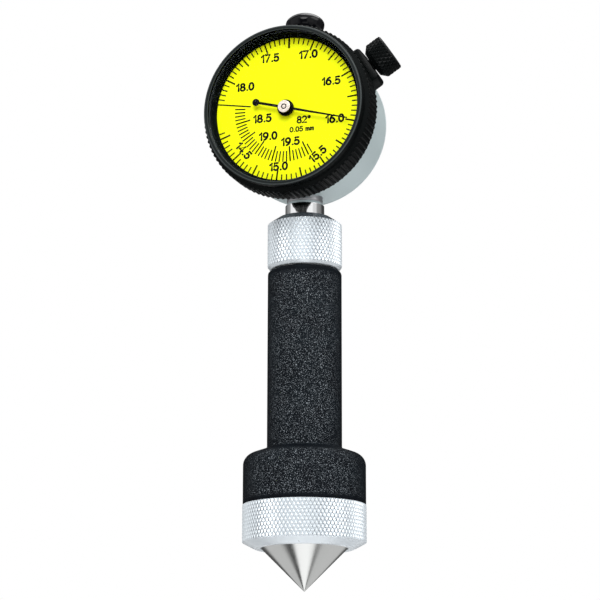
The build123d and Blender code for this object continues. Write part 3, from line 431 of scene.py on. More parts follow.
# %% Groups for tool rings, knurl marks and fronts
ring_group, given, end = effect_group("Tool rings", "Position", {"Pitch": 0.1, "Slope": 1.0}, ["Height"])
across, along, upward = axes_of(ring_group, scaled(ring_group, given["Position"], 1 / MM))
along_squared = reckon(ring_group, "MULTIPLY", along, along)
radius = reckon(ring_group, "SQRT", reckon(ring_group, "MULTIPLY_ADD", across, across, along_squared))
travel = reckon(ring_group, "MULTIPLY_ADD", upward, given["Slope"], radius)
cut_number = reckon(ring_group, "DIVIDE", travel, given["Pitch"])
cut_depth = add(
    ring_group, "ShaderNodeTexNoise", {"W": cut_number, "Scale": 1.0, "Detail": 2.0}, noise_dimensions="1D"
)
ring_group.links.new(cut_depth.outputs[0], end.inputs["Height"])

knurl_group, given, end = effect_group(
    "Knurl marks", "Position", {"Around": 60.0, "Pitch": 1.724, "Start": 0.0}, ["Groove", "Pit"]
)
across, along, upward = axes_of(knurl_group, scaled(knurl_group, given["Position"], 1 / MM))
turn = reckon(knurl_group, "MULTIPLY", reckon(knurl_group, "ARCTAN2", along, across), 1 / math.tau)
column = reckon(knurl_group, "MULTIPLY", turn, given["Around"])
above_start = reckon(knurl_group, "SUBTRACT", upward, given["Start"])
row = reckon(knurl_group, "DIVIDE", above_start, given["Pitch"])
grooves = []
for operation in ("ADD", "SUBTRACT"):
    share = reckon(knurl_group, "FLOORED_MODULO", reckon(knurl_group, operation, column, row), 1.0)
    from_groove = reckon(knurl_group, "ABSOLUTE", reckon(knurl_group, "SUBTRACT", share, 0.5))
    grooves.append(reckon(knurl_group, "MULTIPLY_ADD", from_groove, -2.0, 1.0))
knurl_group.links.new(reckon(knurl_group, "MAXIMUM", *grooves), end.inputs["Groove"])
knurl_group.links.new(reckon(knurl_group, "MULTIPLY", *grooves), end.inputs["Pit"])

front_group, given, end = effect_group("Front", "Normal", {"Start": -0.3, "Full": -0.9}, ["Amount"])
outward = axes_of(front_group, given["Normal"])[1]  # the reader looks along +Y, so a front has a Y of -1
front_share = between(front_group, outward, given["Start"], given["Full"])
front_group.links.new(front_share, end.inputs["Amount"])
print("groups:", ring_group.name, knurl_group.name, front_group.name)

# %% [markdown]
# A finish is a Principled shader with its plain numbers on its own sockets, and the groups feed what
# changes over the surface. Each one gets a call or a function of its own, so that it can be read and
# tuned alone. The finishes are kept by the name of the slot that the record gives them, and later cells
# pick them from there.

# %% Helpers for finishes
finishes = {}
usual_patch = 7.0  # the size in millimetres of patches of changing gloss


def finish(slot_name, **plain):
    """A new finish with plain numbers on its shader. Gives its tree, its shader and its position output."""
    material = bpy.data.materials.new(slot_name)
    material.use_nodes = True
    finishes[slot_name] = material
    tree = material.node_tree
    shader = tree.nodes["Principled BSDF"]
    for name, value in plain.items():
        socket = shader.inputs[name.replace("_", " ")]
        socket.default_value = (*value, 1.0) if isinstance(value, tuple) else value
    return tree, shader, add(tree, "ShaderNodeTexCoord").outputs["Object"]


def effect(tree, group, vector, **sizes):
    """Places a shader group in a finish with its own values. Its first input takes the vector."""
    return add(tree, "ShaderNodeGroup", {0: vector, **sizes}, node_tree=group).outputs


def worn(tree, position, patch, least, most):
    """A number that changes slowly between two others, as wear does. The patches are in millimetres."""
    return effect(tree, wear_group, position, Patch=patch, Least=least, Most=most)["Amount"]


def raise_surface(tree, shader, height, strength, distance=0.05):
    """Feeds a height to the shader's normal. The distance is in millimetres."""
    heights = {"Height": height, "Strength": strength, "Distance": distance * MM}
    tree.links.new(add(tree, "ShaderNodeBump", heights).outputs[0], shader.inputs["Normal"])


def fine_metal(slot_name, colour, least, most, grain_size, grain_strength, **plain):
    """A metal or a paint with fine grain and patches whose roughness lies between least and most."""
    tree, shader, position = finish(slot_name, Base_Color=colour, **plain)
    tree.links.new(worn(tree, position, usual_patch, least, most), shader.inputs["Roughness"])
    grain = effect(tree, grain_group, position, Size=grain_size)["Height"]
    raise_surface(tree, shader, grain, grain_strength)
    return tree, shader, position


print("finish helpers ready")

# %% [markdown]
# The nose ring and the clamp nut are bright aluminium. A knurl of this kind is near white because its
# many small faces catch light from all round, and only the pits where two grooves cross stay dark. Real
# grooves are cut further down, so the colour only has to deepen the lines and pits, as oil and dust do,
# and as painted shade. In five stretches round the piece the grooves are darker still, as painted dark
# reflections, one of them a little to the right of the middle as the camera sees it. The upturned end
# faces get painted shade as well.

# %% Knurled aluminium
knurl_angle = math.radians(30)
knurl_width = 1.0  # of one diamond, round the piece
knurl_pitch = knurl_width / math.tan(knurl_angle)
knurl_depth = 0.24
ring_knurl_count = round(math.tau * ring_high.x / knurl_width)
nut_knurl_count = round(math.tau * nut_high.x / knurl_width)
# painted dark reflections: the grooves are darker in a few stretches round the piece
dark_reflection_bands = 5.0
dark_band_bearing = camera_azimuth + math.radians(28 - 90)  # of one stretch, counted from the gauge's right
band_darkening_mean, band_darkening_swing = 0.66, 0.42
clean_aluminium = (0.80, 0.86, 0.90)
dull_aluminium = (0.64, 0.70, 0.76)
# colour of oil and dust and of painted shade in the grooves and pits, and of painted shade on upturned faces
dirt_and_shade_colour = (0.05, 0.06, 0.08)
side_most, flat_least = 0.4, 0.55  # the height of the normal on a knurled side and on an end face


def knurled_aluminium(name, count, start):
    """Bright aluminium with oil, dust and painted shade in its knurl's grooves, and painted shade on its
    tops.
    """
    tree, shader, position = finish(name, Metallic=0.45)
    marks = effect(tree, knurl_group, position, Around=float(count), Pitch=knurl_pitch, Start=start)
    # the groove lines and pits darken with oil and dust and with painted shade
    line = between(tree, marks["Groove"], 0.70, 1.0, most=0.6)
    pit = between(tree, marks["Pit"], 0.38, 0.75)
    upturned = axes_of(tree, add(tree, "ShaderNodeNewGeometry").outputs["Normal"])[2]
    knurl_share = between(tree, reckon(tree, "ABSOLUTE", upturned), flat_least, side_most)
    # painted shade on faces that look up
    painted_shade_top = between(tree, upturned, side_most, flat_least)
    # painted dark reflection bands, a wave round the axis that deepens the grooves' darkening
    east, north = axes_of(tree, position)[:2]
    from_dark_band = reckon(tree, "SUBTRACT", reckon(tree, "ARCTAN2", north, east), dark_band_bearing)
    wave = reckon(tree, "COSINE", reckon(tree, "MULTIPLY", from_dark_band, dark_reflection_bands))
    band_darkening = reckon(tree, "MULTIPLY_ADD", wave, band_darkening_swing, band_darkening_mean)
    groove_dirt_and_shade = reckon(tree, "MULTIPLY", reckon(tree, "MAXIMUM", line, pit), band_darkening)
    dark = reckon(tree, "MAXIMUM", reckon(tree, "MULTIPLY", groove_dirt_and_shade, knurl_share), painted_shade_top)
    metal = blended(tree, worn(tree, position, 9.0, 0.0, 0.25), clean_aluminium, dull_aluminium)
    tree.links.new(blended(tree, dark, metal, dirt_and_shade_colour), shader.inputs["Base Color"])
    tree.links.new(worn(tree, position, 2.0, 0.26, 0.4), shader.inputs["Roughness"])
    raise_surface(tree, shader, effect(tree, grain_group, position, Size=0.12)["Height"], 0.12, 0.03)


knurled_aluminium("knurled_aluminium", ring_knurl_count, ring_low.z)
knurled_aluminium("knurled_aluminium_nut", nut_knurl_count, nut_low.z)
print("diamonds round the ring and the nut:", ring_knurl_count, nut_knurl_count)

# %% [markdown]
# The handle's black paint is a fine crackle. Under a soft light it shows as dense small specks on a dark
# ground: the crests of the paint catch the light and the cracks swallow it. Bump gives the glints that
# move with the light, and pale specks in the colour are painted highlights, which keep the crackle
# readable where no light is mirrored. The painted specks fade at both ends of the handle, which leaves it
# darker above the nose ring and in painted shade under the nut, and where the surface turns away from the
# eye, as painted shade towards its outline.

# %% Crackle paint
crackle_size = 0.20
crackle_cells = 1.25  # in one crackle size
foot_fade = (0.7, 1.4)  # above the nose ring, where the specks begin
# painted shade under the nut: the painted highlights end this far below the handle's top
nut_shade_fade = (1.1, 2.4)  # below the handle's top, where they end
crest_height = 1.6  # of the grain, against the depth of the cells' edges
speck_start, speck_full = 0.57, 0.80  # the height of a crest where it turns pale
aslant_start, aslant_full = 0.25, 0.8  # how far the surface has turned away where the specks fade
crack_shine, crest_shine = 0.02, 0.6
paint_black = (0.004, 0.005, 0.007)
paint_faded = (0.007, 0.010, 0.013)
# the specks' pale colour is a painted highlight on the crests
painted_crest_highlight = (0.38, 0.43, 0.47)


def crackle_paint():
    """Black paint whose small crests get a painted highlight and mirror more than the cracks between them.
    """
    tree, shader, position = finish("crackle_paint")
    grain = effect(tree, grain_group, position, Size=crackle_size, Detail=2.0)["Height"]
    cells = add(
        tree,
        "ShaderNodeTexVoronoi",
        {
            "Vector": scaled(tree, position, 1 / (crackle_size * MM)),
            "Scale": crackle_cells,
            "Randomness": 1.0,
        },
        feature="SMOOTH_F1",
    )
    raised = reckon(tree, "MULTIPLY", grain, crest_height)
    crest = reckon(tree, "SUBTRACT", raised, cells.outputs["Distance"])
    upward = axes_of(tree, position)[2]
    foot_end = between(tree, upward, *((ring_high.z + gap) * MM for gap in foot_fade))
    # painted shade under the nut
    clear_of_nut_shade = between(tree, upward, *((handle_high.z - gap) * MM for gap in nut_shade_fade))
    # painted shade towards the outline: the painted highlights fade where the surface turns away
    aslant = add(tree, "ShaderNodeLayerWeight", {"Blend": 0.5}).outputs["Facing"]
    clear_of_outline_shade = between(tree, aslant, aslant_start, aslant_full, 1.0, 0.0)
    highlight_speck = between(tree, crest, speck_start, speck_full)
    highlight_speck = reckon(tree, "MULTIPLY", highlight_speck, reckon(tree, "MULTIPLY", foot_end, clear_of_nut_shade))
    highlight_speck = reckon(tree, "MULTIPLY", highlight_speck, clear_of_outline_shade)
    shine = reckon(tree, "MULTIPLY_ADD", highlight_speck, crest_shine, crack_shine)
    tree.links.new(shine, shader.inputs["Specular IOR Level"])
    ground = blended(tree, worn(tree, position, 5.0, 0.0, 1.0), paint_black, paint_faded)
    # painted highlights: the crests' specks turn pale in the colour
    tree.links.new(blended(tree, highlight_speck, ground, painted_crest_highlight), shader.inputs["Base Color"])
    tree.links.new(worn(tree, position, 0.5, 0.28, 0.5), shader.inputs["Roughness"])
    raise_surface(tree, shader, crest, 0.8, 0.12)


crackle_paint()
print("crackle size:", crackle_size, "mm")

# %% [markdown]
# The steels differ in gloss and in the marks of the tool that made them. The cone is ground round its
# axis, so its mirror image is smeared along that way into soft bands. Anisotropic reflection does that,
# with a tangent round the vertical axis, and the tool rings add the last fine lines. The chrome stem is
# nearly a mirror.

# %% Ground and polished steel
tree, shader, position = fine_metal(
    "ground_steel", (0.80, 0.81, 0.80), 0.14, 0.20, 0.2, 0.05, Metallic=1.0, Anisotropic=0.35
)
smear = add(tree, "ShaderNodeTangent", direction_type="RADIAL", axis="Z")
tree.links.new(smear.outputs[0], shader.inputs["Tangent"])
rings = effect(tree, ring_group, position, Pitch=0.05, Slope=1.0)["Height"]
raise_surface(tree, shader, rings, 0.10, 0.02)

fine_metal("polished_steel", (0.90, 0.91, 0.92), 0.05, 0.10, 0.3, 0.02, Metallic=1.0)
fine_metal("spring_steel", (0.50, 0.50, 0.52), 0.28, 0.42, 0.2, 0.1, Metallic=1.0)
print("steels:", [name for name in finishes if "steel" in name])

# %% [markdown]
# Bushings are bronze, the movement is brass, and so is the pointer's hub. Only the hub shows in the
# photograph, as a pale disc with a side that is nearly black. The cards alone don't make its side that
# dark, so the mask for fronts darkens its colour as well, as painted shade.

# %% Brass and bronze of the inner pieces
fine_metal("bushing_bronze", (0.66, 0.43, 0.22), 0.30, 0.45, 0.3, 0.12, Metallic=1.0)
fine_metal("movement_brass", (0.80, 0.60, 0.28), 0.24, 0.38, 0.4, 0.08, Metallic=1.0)

hub_pale = (0.80, 0.71, 0.63)
# painted shade on the hub's side
hub_side_painted_shade = (0.03, 0.022, 0.012)
tree, shader, position = fine_metal("hub_brass", hub_pale, 0.22, 0.32, 0.3, 0.06, Metallic=0.6)
front = effect(tree, front_group, position.node.outputs["Normal"], Start=-0.4, Full=-0.8)["Amount"]
tree.links.new(blended(tree, front, hub_side_painted_shade, hub_pale), shader.inputs["Base Color"])
print("finishes so far:", len(finishes))

# %% [markdown]
# The indicator's case is a satin silver with a blue cast. Its bezel, its clamp and the clamp's knob are
# black anodised, and the cap on top is gloss black. Black pieces are never quite even: a slow change in
# gloss keeps them from looking like plastic toys. The front of the bezel's lip is a little greyer than
# its walls, as a painted sheen, with a painted highlight near each of its edges, which a mask by radius
# and front draws. The knob is worn on the crests of its knurl.

# %% Case, anodised pieces and cap
print_black = (0.003, 0.003, 0.004)
fine_metal("case_satin", (0.58, 0.68, 0.69), 0.36, 0.46, 0.25, 0.08, Metallic=0.25)
fine_metal("cap_black", print_black, 0.04, 0.08, 0.5, 0.03, Specular_IOR_Level=0.17)

lip_radius = 20.15
lip_inner = 19.05
lip_sheen = 0.05
lip_fade = 0.3  # the width in which the lip's grey begins
anodised_black = (0.003, 0.004, 0.004)
# a painted sheen on the lip's front
lip_painted_sheen = (0.013, 0.016, 0.016)
# painted highlights along the lip's two edges: their colour, radii and half widths
edge_highlight_grey = (0.065, 0.075, 0.075)
worn_crest = (0.24, 0.26, 0.28)
edge_highlight_lines = ((lip_radius - 0.26, 0.22), (lip_inner + 0.05, 0.12))  # radius and half width


def black_anodised():
    """Black all over, but a painted grey sheen on the bezel's lip, and painted highlights near its two
    edges.
    """
    tree, shader, position = finish("black_anodised")
    tree.links.new(worn(tree, position, usual_patch, 0.22, 0.36), shader.inputs["Roughness"])
    front = effect(tree, front_group, position.node.outputs["Normal"], Start=-0.3, Full=-0.9)["Amount"]
    from_centre = {0: position, 1: (1, 0, 1), 2: (0, 0, -head_height * MM)}
    off_axis = length_of(
        tree, add(tree, "ShaderNodeVectorMath", from_centre, operation="MULTIPLY_ADD").outputs[0]
    )
    sheen = between(tree, off_axis, (lip_inner - 0.1) * MM, (lip_inner + 0.1) * MM, most=lip_sheen)
    tree.links.new(sheen, shader.inputs["Specular IOR Level"])
    lines = []
    for radius, width in edge_highlight_lines:
        off = reckon(tree, "ABSOLUTE", reckon(tree, "SUBTRACT", off_axis, radius * MM))
        lines.append(between(tree, off, width * MM, width / 3 * MM))
    line = reckon(tree, "MULTIPLY", reckon(tree, "MAXIMUM", *lines), front)
    lip = between(tree, off_axis, lip_radius * MM, (lip_radius - lip_fade) * MM)
    # painted sheen: front faces inside the lip turn grey
    ground = blended(tree, reckon(tree, "MULTIPLY", front, lip), anodised_black, lip_painted_sheen)
    # painted highlights along the lip's edges, broken up by noise
    pale = reckon(tree, "MULTIPLY", line, worn(tree, position, 0.35, 0.6, 1.0))
    tree.links.new(blended(tree, pale, ground, edge_highlight_grey), shader.inputs["Base Color"])


def knurled_black(name, count, start, middle):
    """Black anodised metal whose knurl has bright worn crests. middle turns and centres the knob's axis."""
    tree, shader, position = finish(name, Specular_IOR_Level=0.06)
    own = add(tree, "ShaderNodeMapping", {"Vector": position}, vector_type="POINT")
    own.inputs["Location"].default_value = middle.to_translation()
    own.inputs["Rotation"].default_value = middle.to_euler()
    marks = effect(tree, knurl_group, own.outputs[0], Around=float(count), Pitch=knurl_pitch, Start=start)
    crest = between(tree, marks["Groove"], 0.16, 0.02)
    bare = reckon(tree, "MULTIPLY", crest, worn(tree, position, 1.6, 0.0, 0.4))
    tree.links.new(blended(tree, bare, anodised_black, worn_crest), shader.inputs["Base Color"])
    tree.links.new(worn(tree, position, 3.0, 0.25, 0.4), shader.inputs["Roughness"])
    raise_surface(tree, shader, effect(tree, grain_group, position, Size=0.15)["Height"], 0.2, 0.03)


black_anodised()
print("finishes so far:", len(finishes))

# %% [markdown]
# The dial is a matt lemon yellow with black print. The crystal in front of it is clear glass, which would
# keep the lamps' light off the dial, because a lamp's ray doesn't bend round a pane. A Light Path output
# makes the glass plainly see-through for such rays.

# %% Dial, print and crystal
fine_metal("dial_yellow", (0.90, 0.96, 0.006), 0.50, 0.65, 0.4, 0.02, Specular_IOR_Level=0.05)
fine_metal("pointer_black", print_black, 0.40, 0.55, 0.3, 0.03, Specular_IOR_Level=0.06)

tree, shader, position = finish(
    "crystal_clear", Base_Color=(1.0, 1.0, 1.0), Roughness=0.0, IOR=1.04, Transmission_Weight=1.0
)
path = add(tree, "ShaderNodeLightPath").outputs
straight_through = reckon(tree, "MAXIMUM", path["Is Shadow Ray"], path["Is Diffuse Ray"])
open_air = add(tree, "ShaderNodeBsdfTransparent")
pane = add(tree, "ShaderNodeMixShader", {0: straight_through, 1: shader.outputs[0], 2: open_air.outputs[0]})
tree.links.new(pane.outputs[0], tree.nodes["Material Output"].inputs["Surface"])
print("finishes:", ", ".join(sorted(finishes)))

# %% [markdown]
# Nearly every piece of the gauge comes from a lathe, so one helper turns an outline into a closed solid.
# An outline is drawn as (radius, height) corners, with a third number where a corner has a larger
# rounding than usual. No real edge is perfectly sharp, and a small arc at every corner gives the thin
# bright lines that make metal look like metal. A Bevel modifier could do that too, but it treats all
# edges alike, and here each corner can have its own arc before anything is turned.

# %% Helper for rounded outlines
edge_rounding = 0.10
hold_distance = 0.03  # a point this far beyond each arc keeps the flat beside it flat in smooth shading
edge_share = 0.48  # how much of an edge one arc may take
straight_enough = math.radians(86)  # half the angle of a corner that needs no arc
large_arc = 0.5


def rounded(outline, usual=edge_rounding, arc_steps=4):
    """The outline with an arc at each corner. A corner on the axis stays as it is."""
    points = []
    for i, (radius, height, *own) in enumerate(outline):
        here = Vector((radius, height))
        back = Vector(outline[i - 1][:2]) - here
        on = Vector(outline[(i + 1) % len(outline)][:2]) - here
        wanted = own[0] if own else usual
        half = back.angle(on) / 2
        if radius == 0 or wanted == 0 or half > straight_enough:
            points.append(here)
            continue
        reach = min(wanted / math.tan(half), edge_share * back.length, edge_share * on.length)
        arc_radius = reach * math.tan(half)
        centre = here + (back.normalized() + on.normalized()).normalized() * arc_radius / math.sin(half)
        start = here + back.normalized() * reach - centre
        stop = here + on.normalized() * reach - centre
        turn = start.angle_signed(stop)
        steps = arc_steps if arc_radius < large_arc else 3 * arc_steps
        arc = [centre + Matrix.Rotation(-turn * k / steps, 2) @ start for k in range(steps + 1)]
        if reach + 2 * hold_distance < back.length / 2:
            arc.insert(0, here + back.normalized() * (reach + hold_distance))
        if reach + 2 * hold_distance < on.length / 2:
            arc.append(here + on.normalized() * (reach + hold_distance))
        points += arc
    return points


print("a corner's usual rounding:", edge_rounding, "mm")

# %% [markdown]
# A lathe's work is a solid of revolution. Blender's Screw modifier makes one from a line, but then it has
# to be applied, and its poles closed. Drawing the faces ring by ring gives a closed skin at once, with
# outward faces. The number of steps round is high enough for a smooth edge in the picture. Smooth shading
# hides the steps, and creases keep the corners crisp. Each finished mesh becomes a piece, which knows its
# look, the body it moves with and the solids that it stands for.

# %% Helpers for turned pieces
steps_round = 256
on_axis = 1e-6
upright = Matrix.Identity(4)
facing = Matrix.Translation((0, 0, head_height)) @ Matrix.Rotation(math.radians(90), 4, "X")


def meshed(shape, name):
    """The mesh of a shape that was drawn corner by corner."""
    mesh = bpy.data.meshes.new(name)
    shape.to_mesh(mesh)
    shape.free()
    return mesh


def smooth(mesh, crease=32):
    """Shades a mesh smooth, with creases where its faces meet at a larger angle."""
    mesh.shade_smooth()
    mesh.set_sharp_from_angle(angle=math.radians(crease))
    return mesh


def turned(outline, place=upright, steps=steps_round):
    """A closed solid of revolution from an outline in millimetres, put in its place, in metres."""
    points = [Vector(p) for p in outline]
    area = sum(a.x * b.y - b.x * a.y for a, b in zip(points, points[1:] + points[:1]))
    if area < 0:
        points.reverse()
    ways = [(math.cos(math.tau * k / steps), math.sin(math.tau * k / steps)) for k in range(steps)]
    shape = bmesh.new()
    rings = []
    for point in points:
        if point.x < on_axis:
            rings.append([shape.verts.new((0, 0, point.y))] * steps)
        else:
            rings.append([shape.verts.new((point.x * x, point.x * y, point.y)) for x, y in ways])
    for low, high in zip(rings, rings[1:] + rings[:1]):
        if low[0] is low[1] and high[0] is high[1]:
            continue
        for k in range(steps):
            corners = [low[k], low[(k + 1) % steps], high[(k + 1) % steps], high[k]]
            shape.faces.new([v for i, v in enumerate(corners) if v is not corners[i - 1]])
    mesh = meshed(shape, "turned")
    mesh.transform(Matrix.Scale(MM, 4) @ place)
    return smooth(mesh)


def piece(name, mesh, slot_name, body, *nodes, look=None):
    """A finished mesh as a piece: the finish of its look or else its slot, the body it moves with, and the
    solids it stands for, which it hides.
    """
    mesh.name = name
    if look or not mesh.materials:
        mesh.materials.clear()
        mesh.materials.append(finishes[look or slot_name])
    made = bpy.data.objects.new(name, mesh)
    scene.collection.objects.link(made)
    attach(made, body)
    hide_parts(*nodes)
    print(f"{name}: {len(mesh.polygons)} faces on {body}")
    return made


# %% [markdown]
# The handle is one turning with a wide foot, a grip tube and a bore for the guides. Its corners are well
# rounded, because the paint lies thick on them.

# %% Turn the handle
tube_radius = 8.97
collet_radius = 6.9
cavity_radius = 11.0
spigot_radius = 12.47
foot_edge_height = 21.74
foot_slope = math.radians(19.5)
foot_base = ring_high.z + 0.01
foot_top = foot_edge_height + (handle_high.x - tube_radius) * math.tan(foot_slope)

handle_outline = rounded(
    [
        (cavity_radius, handle_low.z),
        (spigot_radius, handle_low.z),
        (spigot_radius, foot_base),
        (handle_high.x, foot_base, 0.3),
        (handle_high.x, foot_edge_height, 2.9),
        (tube_radius, foot_top, 0.9),
        (tube_radius, handle_high.z, 1.8),
        (collet_radius, handle_high.z),
        (collet_radius, collet_low.z),
        (guide_high.x, collet_low.z),
        (guide_high.x, guide_low.z),
        (cavity_radius, guide_low.z),
    ]
)
piece("handle", turned(handle_outline), "crackle_paint", "handle", "handle_body")

# %% [markdown]
# What repeats is best made by Geometry Nodes: one small shape is drawn once, and a tree copies it by
# rule. A tree's sizes are its named inputs, so that one tree can serve several pieces. At its end the
# copies are made real and get their material. The mesh that comes out is then kept as a plain one,
# without the modifier, so that every piece of the gauge is a plain mesh.

# %% Helpers for geometry trees


def sizes_tree(name, sizes):
    """An empty Geometry Nodes tree with a named input for each size. Gives it, its inputs and its end."""
    tree = bpy.data.node_groups.new(name, "GeometryNodeTree")
    tree.interface.new_socket("Geometry", in_out="OUTPUT", socket_type="NodeSocketGeometry")
    tree.interface.new_socket("Geometry", in_out="INPUT", socket_type="NodeSocketGeometry")
    for label, value in sizes.items():
        kind = "NodeSocketInt" if isinstance(value, int) else "NodeSocketFloat"
        tree.interface.new_socket(label, in_out="INPUT", socket_type=kind).default_value = value
    tree.interface.new_socket("Material", in_out="INPUT", socket_type="NodeSocketMaterial")
    return tree, tree.nodes.new("NodeGroupInput").outputs, tree.nodes.new("NodeGroupOutput")


def end_tree(tree, geometry, material, end):
    """Ends a tree: its copies are made real, and they get their material."""
    real = add(tree, "GeometryNodeRealizeInstances", {"Geometry": geometry})
    painted = add(tree, "GeometryNodeSetMaterial", {"Geometry": real.outputs[0], "Material": material})
    tree.links.new(painted.outputs[0], end.inputs["Geometry"])


def as_plain_mesh(carrier):
    """The mesh that an object's modifiers make of it. The object goes once it is made."""
    graph = bpy.context.evaluated_depsgraph_get()
    plain = bpy.data.meshes.new_from_object(carrier.evaluated_get(graph), depsgraph=graph)
    bpy.data.objects.remove(carrier)
    return plain


def grown(blank, tree, look, **sizes):
    """Runs a mesh through a tree and gives back the plain mesh that comes out."""
    carrier = bpy.data.objects.new(tree.name, blank)
    scene.collection.objects.link(carrier)
    modifier = carrier.modifiers.new(tree.name, "NODES")
    modifier.node_group = tree
    sockets = {item.name: item.identifier for item in tree.interface.items_tree if item.in_out == "INPUT"}
    for name, value in sizes.items():
        modifier[sockets[name]] = value
    modifier[sockets["Material"]] = finishes[look]
    return as_plain_mesh(carrier)


print("tree helpers ready")

# %% [markdown]
# A knurl is one small pyramid repeated. Two wheels press grooves that lean to both sides, and what stays
# between them is a field of diamonds with blunt tips. So the tree sets one blunt four-sided pyramid on a
# staggered grid, which is still flat here: its width is the way round the piece. A few rows more than the
# piece is high leave something to cut off at both ends. Displacing a fine grid would need far more faces
# and blur the tips.

# %% Geometry Nodes tree: knurl, the flat field
spare_rows = 7.0
rows_below = 4.0
knurl_tree, given, end = sizes_tree(
    "Knurl",
    {"Around": 60, "Radius": 0.01, "Pitch": 0.0017, "Depth": 0.0003, "Flat": 0.2, "Low": 0.0, "High": 0.01},
)


def step(operation, *values):
    """One step of arithmetic in the knurl tree."""
    return reckon(knurl_tree, operation, *values)


width = step("DIVIDE", step("MULTIPLY", given["Radius"], math.tau), given["Around"])
half_pitch = step("MULTIPLY", given["Pitch"], 0.5)
height = step("SUBTRACT", given["High"], given["Low"])
rows = step("ADD", step("CEIL", step("DIVIDE", height, half_pitch)), spare_rows)
number = add(knurl_tree, "GeometryNodeInputIndex").outputs[0]
row = step("FLOOR", step("DIVIDE", step("ADD", number, 0.5), given["Around"]))
column = step("SUBTRACT", number, step("MULTIPLY", row, given["Around"]))
shift = step("MULTIPLY", step("FLOORED_MODULO", row, 2.0), 0.5)
place_x = step("MULTIPLY", step("ADD", column, shift), width)
place_y = step("MULTIPLY", step("SUBTRACT", row, rows_below), half_pitch)
spot = add(knurl_tree, "ShaderNodeCombineXYZ", {"X": place_x, "Y": place_y}).outputs[0]
grid = add(
    knurl_tree, "GeometryNodePoints", {"Count": step("MULTIPLY", rows, given["Around"]), "Position": spot}
)
pyramid = add(
    knurl_tree,
    "GeometryNodeMeshCone",
    {
        "Vertices": 4,
        "Radius Top": step("MULTIPLY", given["Flat"], 0.5),
        "Radius Bottom": 0.5,
        "Depth": given["Depth"],
    },
    fill_type="NGON",
)
open_pyramid = add(
    knurl_tree,
    "GeometryNodeDeleteGeometry",
    {"Geometry": pyramid.outputs["Mesh"], "Selection": pyramid.outputs["Bottom"]},
    domain="FACE",
)
stretch = add(knurl_tree, "ShaderNodeCombineXYZ", {"X": width, "Y": given["Pitch"], "Z": 1.0}).outputs[0]
sink = add(knurl_tree, "ShaderNodeCombineXYZ", {"Z": step("MULTIPLY", given["Depth"], -1.0)}).outputs[0]
diamond = add(
    knurl_tree,
    "GeometryNodeTransform",
    {"Geometry": open_pyramid.outputs[0], "Translation": sink, "Scale": stretch},
)
field = add(
    knurl_tree,
    "GeometryNodeInstanceOnPoints",
    {"Points": grid.outputs[0], "Instance": diamond.outputs[0]},
)
field = add(knurl_tree, "GeometryNodeRealizeInstances", {"Geometry": field.outputs[0]})
print("knurl tree so far:", len(knurl_tree.nodes), "nodes")

# %% [markdown]
# The flat field is now bent round the axis: the way across becomes an angle, and what stands up becomes a
# larger radius. Both open rims are drawn together to a point far above and below, so that the roller is a
# closed solid. What lies in both the roller and a turned blank is the knurled piece. That last step runs
# the knurl out over the blank's chamfers, which leaves the scalloped edge of the real thing.

# %% Geometry Nodes tree: knurl, the closed roller
weld_distance = 2e-6  # in metres
flat_x, flat_y, flat_z = axes_of(knurl_tree, add(knurl_tree, "GeometryNodeInputPosition").outputs[0])
angle = step("DIVIDE", flat_x, given["Radius"])
arm = step("ADD", given["Radius"], flat_z)
bent = add(
    knurl_tree,
    "ShaderNodeCombineXYZ",
    {
        "X": step("MULTIPLY", arm, step("COSINE", angle)),
        "Y": step("MULTIPLY", arm, step("SINE", angle)),
        "Z": step("ADD", given["Low"], flat_y),
    },
).outputs[0]
roller = add(knurl_tree, "GeometryNodeSetPosition", {"Geometry": field.outputs[0], "Position": bent})
roller = add(
    knurl_tree, "GeometryNodeMergeByDistance", {"Geometry": roller.outputs[0], "Distance": weld_distance}
)
rim = add(
    knurl_tree,
    "FunctionNodeCompare",
    {2: add(knurl_tree, "GeometryNodeInputMeshEdgeNeighbors").outputs[0], 3: 1},
    data_type="INT",
    operation="EQUAL",
).outputs[0]
ends = add(
    knurl_tree,
    "GeometryNodeExtrudeMesh",
    {"Mesh": roller.outputs[0], "Selection": rim, "Offset Scale": 0.0},
    mode="EDGES",
)
rim_height = axes_of(knurl_tree, add(knurl_tree, "GeometryNodeInputPosition").outputs[0])[2]
middle = step("MULTIPLY", step("ADD", given["Low"], given["High"]), 0.5)
upper = step("GREATER_THAN", rim_height, middle)
spread = step("ADD", step("MULTIPLY", height, 0.5), given["Pitch"])
pole_height = step("ADD", middle, step("MULTIPLY", spread, step("MULTIPLY_ADD", upper, 2.0, -1.0)))
pole = add(knurl_tree, "ShaderNodeCombineXYZ", {"Z": pole_height}).outputs[0]
shut = add(
    knurl_tree,
    "GeometryNodeSetPosition",
    {"Geometry": ends.outputs["Mesh"], "Selection": ends.outputs["Top"], "Position": pole},
)
shut = add(
    knurl_tree, "GeometryNodeMergeByDistance", {"Geometry": shut.outputs[0], "Distance": weld_distance}
)
cut = add(knurl_tree, "GeometryNodeMeshBoolean", operation="INTERSECT", solver="EXACT")
knurl_tree.links.new(given["Geometry"], cut.inputs["Mesh 2"])
knurl_tree.links.new(shut.outputs[0], cut.inputs["Mesh 2"])
end_tree(knurl_tree, cut.outputs["Mesh"], given["Material"], end)
print("knurl tree:", len(knurl_tree.nodes), "nodes")

# %% [markdown]
# The blanks for the ring and the nut are a hair larger than the knurl, so that no two surfaces lie in the
# same place when the tree cuts them. A cut still leaves corners that almost meet, with slivers between
# them, and those would show as specks and spoil the mesh for printing. One helper joins such corners.

# %% Knurl the nose ring
blank_allowance = 0.03
knurl_flat = 0.24  # of a diamond's width, across its blunt tip
sliver = 0.001
ring_bore = 10.34
ring_face = 11.9
ring_chamfer_height = 1.5
ring_lip_height = 3.6
spigot_gap = 0.03


